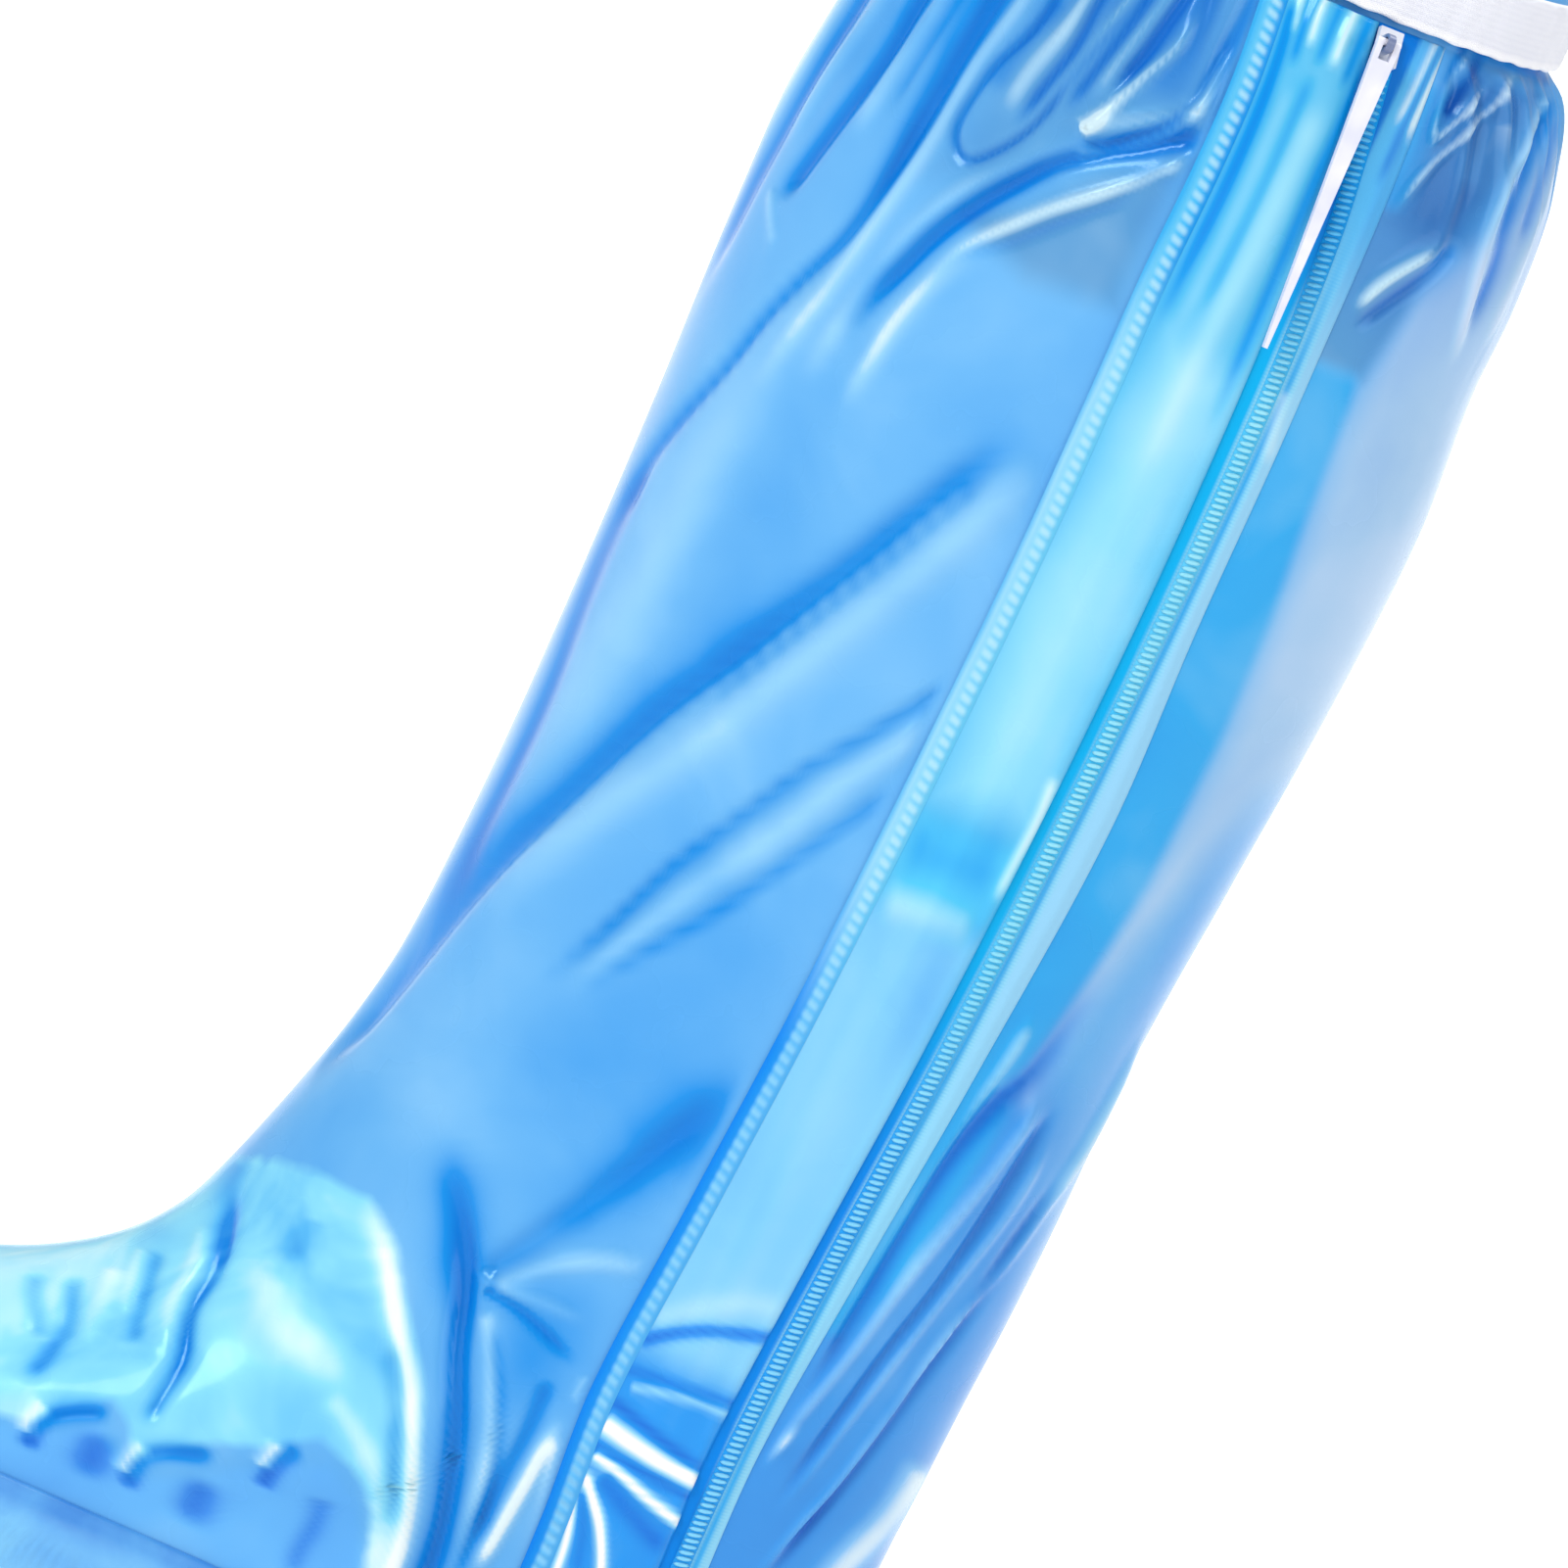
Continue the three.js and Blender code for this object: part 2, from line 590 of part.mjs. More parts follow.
const tape = stripGeometry({
  from: (z) => zipLine('edge', z) - TAPE_UNDER_FLAP,
  to: (z) => zipLine('facing', z),
  low: ZIP_BOTTOM,
  high: ZIP_TOP,
  across: 3,
  under: () => GAP,
  over: () => GAP + TAPE_THICKNESS,
});

const coil = stripGeometry({
  from: (z) => zipLine('coil', z) - COIL_WIDTH / 2,
  to: (z) => zipLine('coil', z) + COIL_WIDTH / 2,
  low: ZIP_BOTTOM + 1,
  high: COIL_TOP,
  across: 3,
  under: () => GAP + TAPE_THICKNESS + GAP,
  over: (x, z, share) => GAP + TAPE_THICKNESS + GAP + COIL_HEIGHT * (0.4 + 2.4 * share * (1 - share)),
});

// Slider in its own frame: X across the zip, -Y away from the film, Z up, the hinge at the origin
function sliderGeometry() {
  const { left, right, above, below, thickness, lugWidth, lugRadius } = SLIDER;
  const baseTop = HINGE_LIFT - thickness;
  const base = new THREE.BoxGeometry(left + right, thickness, above + below);
  base.translate((right - left) / 2, baseTop + thickness / 2, (above - below) / 2);
  const lug = new THREE.CylinderGeometry(lugRadius, lugRadius, lugWidth, 16);
  lug.rotateZ(Math.PI / 2);
  const foot = new THREE.BoxGeometry(lugWidth, baseTop + thickness / 2, 2 * lugRadius);
  foot.translate(0, (baseTop + thickness / 2) / 2, 0);
  const bore = new THREE.CylinderGeometry(HINGE_BORE, HINGE_BORE, 2 * lugWidth, 16);
  bore.rotateZ(Math.PI / 2);
  return geometryOf(solid(base).add(solid(lug).add(solid(foot))).subtract(solid(bore)));
}

// Pull in its own frame: it hangs from the hinge at the origin towards -Z
function pullGeometry() {
  const shape = new THREE.Shape();
  shape.moveTo(-PULL_OUTLINE[0].half, 0);
  PULL_OUTLINE.slice(1).forEach((row) => shape.lineTo(-row.half, -row.down));
  PULL_OUTLINE.slice().reverse().forEach((row) => shape.lineTo(row.half, -row.down));
  const plate = new THREE.ExtrudeGeometry(shape, { depth: PULL_THICKNESS, bevelEnabled: false });
  plate.rotateX(Math.PI / 2);
  plate.translate(0, PULL_THICKNESS / 2, 0);
  const windowHeight = PULL_WINDOW.bottom + PULL_WINDOW.above;
  const window = new THREE.BoxGeometry(2 * PULL_WINDOW.half, 2 * PULL_THICKNESS, windowHeight);
  window.translate(0, 0, PULL_WINDOW.above - windowHeight / 2);
  const bar = new THREE.CylinderGeometry(PULL_BAR, PULL_BAR, 2 * PULL_OUTLINE[0].half, 12);
  bar.rotateZ(Math.PI / 2);
  return geometryOf(solid(plate).subtract(solid(window)).add(solid(bar)));
}

function mesh(name, geometry, colour, roughness) {
  const material = new THREE.MeshStandardMaterial({ color: colour, roughness, metalness: 0 });
  const piece = new THREE.Mesh(geometry, material);
  piece.name = name;
  return piece;
}

// Frame of a turned piece: its X along the hinge, its Z given, and its origin at the hinge
function placeAtHinge(piece, hinge, across, up) {
  const inward = new THREE.Vector3().crossVectors(up, across).normalize();
  const upright = new THREE.Vector3().crossVectors(across, inward).normalize();
  piece.quaternion.setFromRotationMatrix(new THREE.Matrix4().makeBasis(across, inward, upright));
  piece.position.copy(hinge);
}

const outward = zipSideSlope(SLIDER_X, SLIDER_Z).normalize();
const hinge = zipSidePoint(SLIDER_X, SLIDER_Z, GAP + TAPE_THICKNESS + GAP + HINGE_LIFT);
const tip = zipSidePoint(PULL_TIP.x, PULL_TIP.z, PULL_TIP.lift);
const pullUp = hinge.clone().sub(tip).normalize();
const across = new THREE.Vector3().crossVectors(pullUp, outward.clone().negate()).negate().normalize();
const sliderUp = new THREE.Vector3().crossVectors(across, outward.clone().negate()).normalize();

const shoeCover = new THREE.Group();
shoeCover.add(mesh('upper', upperGeometry(), COLOURS.film, 0.25));
shoeCover.add(mesh('sole', soleGeometry(), COLOURS.sole, 0.45));
shoeCover.add(mesh('top_band', bandGeometry(), COLOURS.band, 0.85));
shoeCover.add(mesh('zip_flap', flap, COLOURS.flap, 0.3));
shoeCover.add(mesh('flap_seam', seam, COLOURS.seam, 0.4));
shoeCover.add(mesh('zip_tape', tape, COLOURS.tape, 0.5));
shoeCover.add(mesh('zip_coil', coil, COLOURS.coil, 0.4));

const slider = mesh('zip_slider', sliderGeometry(), COLOURS.slider, 0.35);
placeAtHinge(slider, hinge, across, sliderUp);
shoeCover.add(slider);

const pull = mesh('zip_pull', pullGeometry(), COLOURS.pull, 0.3);
placeAtHinge(pull, hinge, across, pullUp);
shoeCover.add(pull);

export default shoeCover;
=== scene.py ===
"""Looks of a tall zipped shoe cover of PVC film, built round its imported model.

Shapes are worked out in millimetres, with +Z up, the toe towards -X and the zip side facing -Y,
and put into the meshes in metres. Folds are drawn in the tilted side view: X across, and a height
that is the one seen from the zip side, looking down by VIEW_TILT.
"""

import math

import bmesh
import bpy
import numpy as np
from mathutils import Matrix, Vector


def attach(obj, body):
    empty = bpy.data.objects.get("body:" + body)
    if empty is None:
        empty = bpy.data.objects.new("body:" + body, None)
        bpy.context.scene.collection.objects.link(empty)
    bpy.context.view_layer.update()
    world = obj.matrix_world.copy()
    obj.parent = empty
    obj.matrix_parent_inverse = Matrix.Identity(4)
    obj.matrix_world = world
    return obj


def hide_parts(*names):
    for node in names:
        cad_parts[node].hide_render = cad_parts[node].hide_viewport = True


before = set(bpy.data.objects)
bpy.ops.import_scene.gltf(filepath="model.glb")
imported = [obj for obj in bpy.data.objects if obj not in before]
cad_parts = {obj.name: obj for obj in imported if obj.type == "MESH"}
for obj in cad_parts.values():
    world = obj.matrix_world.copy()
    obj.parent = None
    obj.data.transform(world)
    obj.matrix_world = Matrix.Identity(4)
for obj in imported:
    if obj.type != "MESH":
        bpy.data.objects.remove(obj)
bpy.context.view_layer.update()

MM = 0.001
VIEW_TILT = math.radians(9)
VIEW_LEVEL = 237

# The film's sections: height, front, rear, half width and how square
SECTIONS = np.array([
    (6, -149, 144, 53, 2.6), (16, -152, 145.5, 55, 2.6), (26, -150, 146.2, 55.5, 2.6),
    (35, -145.5, 146.2, 55, 2.55), (43, -138, 146, 54, 2.5), (51, -126, 145.8, 52.5, 2.4),
    (58.5, -108, 145.5, 51.5, 2.35), (66, -85, 145.2, 50.5, 2.3), (73, -62.5, 145, 50, 2.25),
    (80, -45.5, 144.8, 49.5, 2.2), (87, -34, 144.6, 49, 2.15), (95, -24.5, 144.6, 48.7, 2.1),
    (105, -17, 144.8, 48.5, 2.1), (116, -12.3, 145.3, 48.3, 2.05), (136, -6, 146, 48.6, 2.05),
    (156, -0.8, 147, 49.5, 2.05), (176, 2.3, 147.5, 50.4, 2.05), (217, 3.5, 147.7, 52, 2.05),
    (257, 3, 150.5, 53, 2.05), (298, 1.8, 153.4, 54, 2.05), (338, 0, 154.8, 54.5, 2.05),
    (369, -0.4, 152.5, 54.5, 2.05), (389, 1.6, 152.7, 54, 2.05), (409, 4, 150.8, 52.7, 2.05),
    (419, 6, 148, 51, 2.05), (429, 9.5, 144, 48.6, 2.05), (434.5, 13.5, 139.5, 46.4, 2.05),
    (436, 15, 138, 45.6, 2.05), (452, 15, 138, 45.6, 2.05),
], float)
FOOTPRINT = np.array([(0, 1.12), (0.27, 1.04), (0.58, 0.8), (0.82, 0.82), (1, 0.95)])
FOOT_SHAPE_FULL_BELOW = 55
FOOT_SHAPE_GONE_ABOVE = 115
TOE_SWING = 7

# Lines of the zip side: height, seam, free edge of the flap, coil and facing, as X positions
ZIP_LINES = np.array([
    (40, 81.5, 104.5, 108.2, 114), (86, 80, 103.4, 107.2, 112.6), (116, 78, 102.5, 107, 112),
    (157, 80, 104.5, 108.8, 115), (207, 82.5, 107.5, 111.8, 119.3), (263, 84, 109.5, 113.8, 122.8),
    (309, 84.5, 110, 114.7, 121.4), (346, 84, 109.5, 114.6, 121), (371, 83.5, 108.6, 113.9, 120.4),
    (395, 83.8, 107.2, 112.3, 119.8), (415, 83.3, 105.6, 109.6, 118.8), (437, 81, 102.6, 106, 117),
], float)
SEAM, EDGE, COIL, FACING = 1, 2, 3, 4

GAP = 0.4
LAID_ON = 0.05
TAPE_THICKNESS = 1
SEAM_WIDTH = 5.5
COIL_WIDTH = 3.6
ZIP_BOTTOM = 53
ZIP_TOP = 435.6
COIL_TOP = 427.6
TAPE_UNDER_FLAP = 9
SOLE_TOP = 48
SOLE_WALL = 2.4
LUG_HEIGHT = 2
SOLE_FLOOR = 4
FILM_BOTTOM = LUG_HEIGHT + SOLE_FLOOR + GAP
FOOTPRINT_LEVEL = 16
BAND_BOTTOM = 437
BAND_HEIGHT = 14.5
BAND_THICKNESS = 2.2
BAND_LEVEL = 440
BAND_LEVEL_RADIUS = 70
BAND_RIB_PITCH = 1.3
FILM_TOP = BAND_BOTTOM + BAND_HEIGHT - 1


def smoothstep(value, start, end):
    """0 before start, 1 after end, and 3t^2 - 2t^3 between."""
    t = np.clip((value - start) / (end - start), 0, 1)
    return t * t * (3 - 2 * t)


def through(table, column, at):
    """A cubic between each two rows, whose slope at a row is that of the line between its neighbours."""
    stations = table[:, 0]
    values = table[:, column]
    at = np.clip(at, stations[0], stations[-1])
    last = len(stations) - 1
    before = np.maximum(np.arange(last + 1) - 1, 0)
    after = np.minimum(np.arange(last + 1) + 1, last)
    slopes = (values[after] - values[before]) / (stations[after] - stations[before])
    i = np.clip(np.searchsorted(stations, at, side="right") - 1, 0, last - 1)
    span = stations[i + 1] - stations[i]
    t = (at - stations[i]) / span
    start = values[i]
    end = values[i + 1]
    leave = slopes[i] * span
    arrive = slopes[i + 1] * span
    cubic = 2 * start - 2 * end + leave + arrive
    square = 3 * end - 3 * start - 2 * leave - arrive
    return ((cubic * t + square) * t + leave) * t + start


def section(z):
    """Middle, reach and half width of the film's section at a height, how square it is, and how much
    of the foot's shape it takes."""
    front = through(SECTIONS, 1, z)
    rear = through(SECTIONS, 2, z)
    foot = 1 - smoothstep(z, FOOT_SHAPE_FULL_BELOW, FOOT_SHAPE_GONE_ABOVE)
    return (front + rear) / 2, (rear - front) / 2, through(SECTIONS, 3, z), through(SECTIONS, 4, z), foot


def foot_shape(x, middle, reach, foot):
    """Width factor and sideways shift of a section at one place along the foot."""
    at = (x - middle) / (2 * reach) + 0.5
    width = 1 + (through(FOOTPRINT, 1, at) - 1) * foot
    return width, TOE_SWING * (1 - at) ** 2 * foot


def smooth_film(angle, z):
    """Point of the film without folds: a superellipse at each height, with the angle 0 at the heel
    and growing towards +Y, widened along the foot and swung at the toe."""
    angle, z = np.broadcast_arrays(angle, z)
    middle, reach, half, power, foot = section(z)
    cos = np.cos(angle)
    sin = np.sin(angle)
    x = middle + reach * np.sign(cos) * np.abs(cos) ** (2 / power)
    width, shift = foot_shape(x, middle, reach, foot)
    y = half * width * np.sign(sin) * np.abs(sin) ** (2 / power) + shift
    return np.stack([x, y, z], -1)


def unit(vectors):
    """Vectors scaled to length 1."""
    return vectors / np.maximum(np.linalg.norm(vectors, axis=-1, keepdims=True), 1e-9)


def film_normal(angle, z, level_only=False):
    """Outward direction of the smooth film: round the section crossed with up the film."""
    turn = 0.01
    step = 0.5
    around = smooth_film(angle + turn, z) - smooth_film(angle - turn, z)
    up = smooth_film(angle, z + step) - smooth_film(angle, z - step)
    normal = np.cross(around, up)
    if level_only:
        normal = normal * (1, 1, 0)
    return unit(normal)


def zip_side_y(x, z):
    """Y of the smooth film on the zip side: the superellipse solved for its near half."""
    middle, reach, half, power, foot = section(z)
    t = np.clip(np.abs(x - middle) / reach, 0, 1)
    width, shift = foot_shape(x, middle, reach, foot)
    return shift - half * width * (1 - t ** power) ** (1 / power)


def zip_side_slope(x, z):
    """Direction out of the zip side, 1 long along -Y, from the slopes of its Y."""
    step = 0.5
    slope_x = (zip_side_y(x + step, z) - zip_side_y(x - step, z)) / (2 * step)
    slope_z = (zip_side_y(x, z + step) - zip_side_y(x, z - step)) / (2 * step)
    return np.stack([slope_x, -np.ones_like(slope_x), slope_z], -1)


def zip_side_point(x, z, lift):
    """Point at a distance from the smooth film of the zip side, moved straight out along -Y."""
    x, z, lift = np.broadcast_arrays(x, z, lift)
    stretch = np.linalg.norm(zip_side_slope(x, z), axis=-1)
    return np.stack([x, zip_side_y(x, z) - lift * stretch, z], -1)


def view_height(points):
    """Height in the tilted side view. Both sides of the cover are read as if they faced the view."""
    near = -np.abs(points[..., 1])
    return VIEW_LEVEL + (points[..., 2] - VIEW_LEVEL) * math.cos(VIEW_TILT) + near * math.sin(VIEW_TILT)


CURVE_STEPS = 5


def rounded_path(points):
    """Points of a Catmull-Rom curve through the given ones."""
    p = np.array(points, float)
    if len(p) < 3:
        return p
    p = np.vstack([2 * p[0] - p[1], p, 2 * p[-1] - p[-2]])
    t = np.linspace(0, 1, CURVE_STEPS, endpoint=False)[:, None]
    curve = []
    for a, b, c, d in zip(p[:-3], p[1:-2], p[2:-1], p[3:]):
        curve.append(0.5 * (2 * b + (c - a) * t + (2 * a - 5 * b + 4 * c - d) * t ** 2
                            + (3 * b - a - 3 * c + d) * t ** 3))
    return np.vstack(curve + [p[-2:-1]])


def place_on_path(path, x, height):
    """Distance of places from a path, which side they are on, and their share of the way along it."""
    best = np.full(x.shape, 1e9)
    side = np.ones(x.shape)
    way = np.zeros(x.shape)
    steps = np.diff(path, axis=0)
    lengths = np.linalg.norm(steps, axis=1)
    travelled = 0
    for start, step, length in zip(path[:-1], steps, lengths):
        rx = x - start[0]
        ry = height - start[1]
        t = np.clip((rx * step[0] + ry * step[1]) / length ** 2, 0, 1)
        distance = np.hypot(rx - t * step[0], ry - t * step[1])
        closer = distance < best
        best = np.where(closer, distance, best)
        side = np.where(closer, np.sign(step[0] * ry - step[1] * rx), side)
        way = np.where(closer, travelled + t * length, way)
        travelled += length
    return best, side, way / travelled


def draw_folds(folds, x, height):
    """Rise, and painted light and shade, of every fold at places in the side view: painted shade along
    valleys and dark bands, painted highlights along ridges. A fold is a ridge or valley of bell shape
    across its path, wider on the side that it leans to, and it fades along both ends."""
    rise = np.zeros(x.shape)
    painted_light = np.zeros(x.shape)
    for depth, shade, width, points, *shape in folds:
        lean, ends = shape or (0, LONG)
        path = rounded_path(points)
        reach = 3.2 * width
        low = path.min(0) - reach
        high = path.max(0) + reach
        near = (x > low[0]) & (x < high[0]) & (height > low[1]) & (height < high[1])
        if not near.any():
            continue
        distance, side, way = place_on_path(path, x[near], height[near])
        spread = width * (1 + lean * side)
        fade = smoothstep(way, -0.001, ends[0]) * (1 - smoothstep(way, 1 - ends[1], 1.001))
        bell = np.exp(-(distance / spread) ** 2) * fade
        rise[near] += depth * bell
        painted_light[near] += shade * bell
    return rise, painted_light


def soft_zone(points, softness, x, height):
    """1 inside a closed outline and 0 outside it, changing over the softness on both sides."""
    corners = np.array(points, float)
    best = np.full(x.shape, 1e9)
    inside = np.zeros(x.shape, bool)
    for start, end in zip(corners, np.roll(corners, -1, axis=0)):
        step = end - start
        rx = x - start[0]
        ry = height - start[1]
        t = np.clip((rx * step[0] + ry * step[1]) / (step @ step), 0, 1)
        best = np.minimum(best, np.hypot(rx - t * step[0], ry - t * step[1]))
        spans = (start[1] > height) != (end[1] > height)
        if step[1] != 0:
            inside ^= spans & (rx < ry * step[0] / step[1])
    signed = np.where(inside, best, -best)
    return smoothstep(signed, -softness, softness)


# Folds of the film: rise in mm, painted light and shade (below 0 painted shade, above 0 painted
# highlight), width and path, and last the lean and the shares over which the ends fade, where these
# aren't 0 and LONG
LONG = (0.1, 0.2)
START = (0.02, 0.35)
FOLDS = [
    # Gathers and loops below the band, towards the front
    (0.9, 1.0, 1.4, [(3.5, 402), (2.1, 385), (-0.7, 358), (0, 346)]),
    (-1.2, -1.0, 1.3, [(8, 405), (5.7, 386), (3.6, 370), (2.1, 350), (1.4, 335), (0.7, 318)]),
    (0.8, 0.4, 1.2, [(12, 405), (9.3, 387), (6.4, 370), (5, 353)]),
    (-1.6, -1.3, 1.6, [(20, 412), (17, 393), (15.7, 381), (13, 367), (10, 353), (8, 343)], 0, (0.1, 0.1)),
    (0.4, 0.35, 0.8, [(5.7, 345), (8, 340), (11.4, 334)]),
    (1.0, 0.45, 1.6, [(23, 412), (20.7, 394), (18.6, 378), (16.4, 360)]),
    (-0.7, -0.35, 1.0, [(25, 410), (23.6, 393), (22, 381), (20.7, 368)]),
    (-2.2, -1.4, 2.6, [(32, 418), (30, 398), (28.6, 385), (27.4, 371), (26, 357),
        (24, 343)], 0, (0.05, 0.4)),
    (-1.2, -0.9, 1.4, [(28, 378), (26, 357), (23.6, 343), (19, 331), (15.7, 321), (13, 310), (9, 297),
        (6, 284), (5, 270)], 0, (0.2, 0.1)),
    (1.2, 0.6, 1.7, [(38, 414), (36, 400), (33, 386), (32, 376), (31, 366), (28.6, 350), (26, 336),
        (23, 321), (20, 305)]),
    (-1.2, -0.8, 0.9, [(43, 414), (40.7, 397), (36.4, 386), (34.3, 374), (35.7, 368.6), (39.3, 366.4),
        (43.6, 370), (48, 377), (50.7, 386), (53, 397), (55.7, 406), (58.6, 413)]),
    (1.3, 0.6, 1.9, [(49, 414), (47, 401), (43.6, 389), (42, 377)]),
    (0, -0.4, 2.2, [(43, 404), (39.5, 392), (37.5, 380)]),
    (-1.1, -1.0, 1.1, [(52, 418), (50, 407), (49.3, 396), (47, 386), (45, 376)]),
    (0.8, 0.5, 0.9, [(57, 418), (55, 408.6), (52, 393), (50.7, 382)]),
    (-1.0, -0.9, 1.2, [(59.5, 418), (58, 407), (55, 393), (53, 383)]),
    (0.9, 0.45, 1.4, [(64, 420), (62, 411), (59.3, 400), (57, 388)]),
    (-1.4, -1.2, 1.5, [(67, 424), (65, 413), (63, 401), (60, 390)]),
    (1.4, 1.0, 1.2, [(57.5, 381.5), (59.5, 383), (61.4, 388.6), (64.3, 396), (68, 404),
        (70, 416)], 0, START),
    (1.2, 1.3, 1.6, [(57.5, 381.5), (59.5, 384), (61, 388)], 0, (0.02, 0.5)),
    (0, -0.35, 4.0, [(70, 422), (69, 405), (68, 392)]),
    (-1.0, -0.8, 1.0, [(57, 379), (63, 380.7), (68, 385), (73, 390), (75.7, 396), (76.4, 403),
        (77, 414)]),
    (0.9, 0.55, 1.2, [(58, 376), (61.4, 378.4), (70, 384.3), (77, 391)]),
    (1.6, 0.8, 2.4, [(80, 408), (78, 398), (75, 391)]),
    (1.2, 0.45, 2.6, [(82, 402), (79, 395), (68, 388), (56, 381)]),
    (-2.4, -1.4, 2.5, [(84, 391), (75.7, 387), (70, 383), (63, 378.6), (55.7, 373), (50, 365.7),
        (45, 358.6), (40, 350), (36.4, 341), (33.6, 333), (31, 322)], -0.25, (0.05, 0.2)),
    (1.5, 0.85, 1.8, [(84, 388), (78.6, 383.6), (73, 377), (65.7, 370.7), (58.6, 364.3), (51.4, 356.4),
        (46.4, 350), (43, 341.4), (40, 331.4), (38.6, 321.4), (37, 308)], 0.2, LONG),
    (-0.7, -0.5, 1.4, [(81.4, 382), (75.7, 378.6), (68.6, 370), (61.4, 363), (54.3, 355.7), (47, 349),
        (44.3, 344), (42, 336)]),
    (1.4, 0.5, 2.2, [(66, 383), (54.3, 374.8), (47, 367), (41.4, 360), (37, 351.4), (33, 338.6),
        (30.7, 328.6), (28, 310)]),
    (0, -1.2, 1.4, [(78.5, 426), (79, 408), (80.5, 392)]),
    # Long slanting folds of the shaft
    (-2.6, -0.8, 3.0, [(74, 322), (61.7, 300), (53.3, 283), (45, 266.7), (36.7, 251.7), (30, 240),
        (23.3, 225), (16.7, 208), (10, 190), (6, 175), (2, 160), (-4, 141)], -0.25, (0.1, 0.1)),
    (0, -0.5, 5.0, [(54, 286), (45, 270), (37, 254), (29, 241), (21, 224), (13, 203),
        (8, 188)], -0.5, (0.3, 0.2)),
    (0.5, 0.25, 1.2, [(68, 307), (55, 281), (46.5, 265), (40, 252)]),
    (-0.8, -0.4, 1.2, [(71, 311), (56.7, 282), (48.3, 265), (41.7, 252), (36, 240)]),
    (1.9, 0.38, 4.2, [(79, 320), (70, 298), (60, 276.7), (50, 256.7), (40, 236.7), (30, 220), (20, 200),
        (13, 184)]),
    (-1.5, -0.6, 1.7, [(83, 273), (70, 253), (61.7, 241.7), (53.3, 226.7), (45, 211.7), (38.3, 195),
        (30, 178)], 0.3, LONG),
    (1.5, 0.45, 3.2, [(82, 262), (70, 243), (61.7, 226.7), (51.7, 210), (43.3, 193), (36, 178)]),
    (-1.1, -0.5, 1.6, [(80, 246), (66.7, 223), (56.7, 206.7), (46.7, 193), (38, 179)]),
    (0.9, 0.12, 5.0, [(24, 335), (22, 310), (19, 285), (16, 250), (14, 215), (12, 190)]),
    (-0.9, -1.2, 1.9, [(6.5, 286), (5.6, 268), (6.4, 250), (7.7, 233), (7.7, 215), (6.4, 195), (4, 176)]),
    # The star of creases at the ankle
    (-2.0, -0.35, 3.2, [(47.5, 121), (48.2, 124.6), (55.4, 137), (62.5, 149.6), (68, 160.4), (73.2, 171),
        (77, 182)], 0, (0.02, 0.3)),
    (0, -0.75, 7.5, [(50, 127), (56, 138), (63, 150), (68, 160), (74, 171), (80, 184)], 0, (0.6, 0.3)),
    (1.2, 0.5, 2.0, [(49, 121), (57, 128), (66, 133.6), (75, 136), (81, 137)], 0, START),
    (-1.1, -0.9, 1.1, [(47.3, 118.4), (55.4, 117.5), (64.3, 114.8), (71.4, 112)], 0, START),
    (0.7, 0.3, 1.5, [(49, 119.5), (58, 121), (70, 121)], 0, START),
    (-3.4, -1.3, 2.5, [(26, 147), (31, 137), (37.5, 128), (43, 117.5), (47.3, 105), (53.6, 90.7), (58, 78),
        (60.7, 65.7), (62, 50)], 0, (0.4, 0.05)),
    (0, -0.8, 5.0, [(27, 144), (36, 130), (41, 118), (45, 107)], 0, (0.3, 0.4)),
    (1.9, 1.4, 1.8, [(16, 125), (19.6, 123), (26.8, 115.7), (34, 105), (41, 96), (46.4, 85.4), (51, 74.6),
        (53.6, 65.7), (54.5, 58.6), (54.5, 46)], 0, (0.3, 0.05)),
    (0, 0.5, 2.8, [(17, 124), (26, 115), (34, 104), (42, 92)], 0, (0.2, 0.5)),
    (1.0, 0.8, 1.9, [(49, 114.8), (53.6, 108.6), (58, 99.6), (61.6, 90.7), (63.4, 80),
        (64.3, 66)], 0, (0.05, 0.4)),
    (-1.2, -0.8, 1.3, [(51, 114), (56, 106), (61, 96), (65, 85), (66.5, 72), (67, 56)]),
    (0.7, 0.6, 2.6, [(26, 86), (34, 82), (42, 76), (47, 69), (50, 60), (51, 50)]),
    (-1.0, -0.5, 2.0, [(34, 100), (40, 91), (44, 82), (48, 72), (50, 62)]),
    (1.5, 1.5, 1.5, [(73, 102), (71.8, 94), (71.4, 87), (70.5, 76), (69.5, 64)], 0, (0.25, 0.2)),
    (1.2, 1.4, 1.2, [(73.5, 98), (75, 90.7), (77.7, 78), (78.6, 68)]),
    (-1.1, -0.9, 1.6, [(67, 108), (67.4, 96), (67, 84), (67.5, 68)]),
    (0.8, 0.8, 1.0, [(73.5, 111), (73.5, 105)]),
    # Creases over the foot
    (-1.5, -1.3, 1.9, [(-8, 117), (-6.3, 108.6), (-4.5, 99.6), (-5.4, 89), (-2.7, 80), (-3.2, 71),
        (-4, 63)], 0, (0.2, 0.1)),
    (0, -0.6, 3.9, [(-10, 121), (-7, 110), (-5, 98)]),
    (1.0, 0.5, 1.9, [(-10, 106), (-8.3, 98), (-8.8, 88), (-6, 78)]),
    (-0.9, -0.9, 2.0, [(-17, 97), (-16, 90.7), (-14.3, 82), (-12.5, 77)]),
    (0.8, 0.5, 1.9, [(-19, 96), (-18.5, 90), (-17, 82)]),
    (-0.9, -1.0, 2.1, [(-30.5, 85), (-29.5, 82.7), (-26.8, 76.4), (-27.7, 69.3), (-29.5, 61)]),
    (-0.7, -0.7, 2.1, [(-37.5, 82), (-36, 78), (-32.5, 74), (-31, 70)]),
    (0.8, 0.5, 2.1, [(-23, 90), (-22, 82), (-22, 73)]),
    (0.8, 0.4, 3.9, [(6, 108), (10, 96), (20, 92), (32, 90)]),
    (0, -0.4, 3.1, [(10, 117), (9, 108), (7, 100)]),
    # Scalloped puckers along the foot
    (-0.7, -1.3, 1.9, [(-23.6, 49), (-23.2, 55), (-20.5, 58.6), (-14.3, 62), (-10, 63)]),
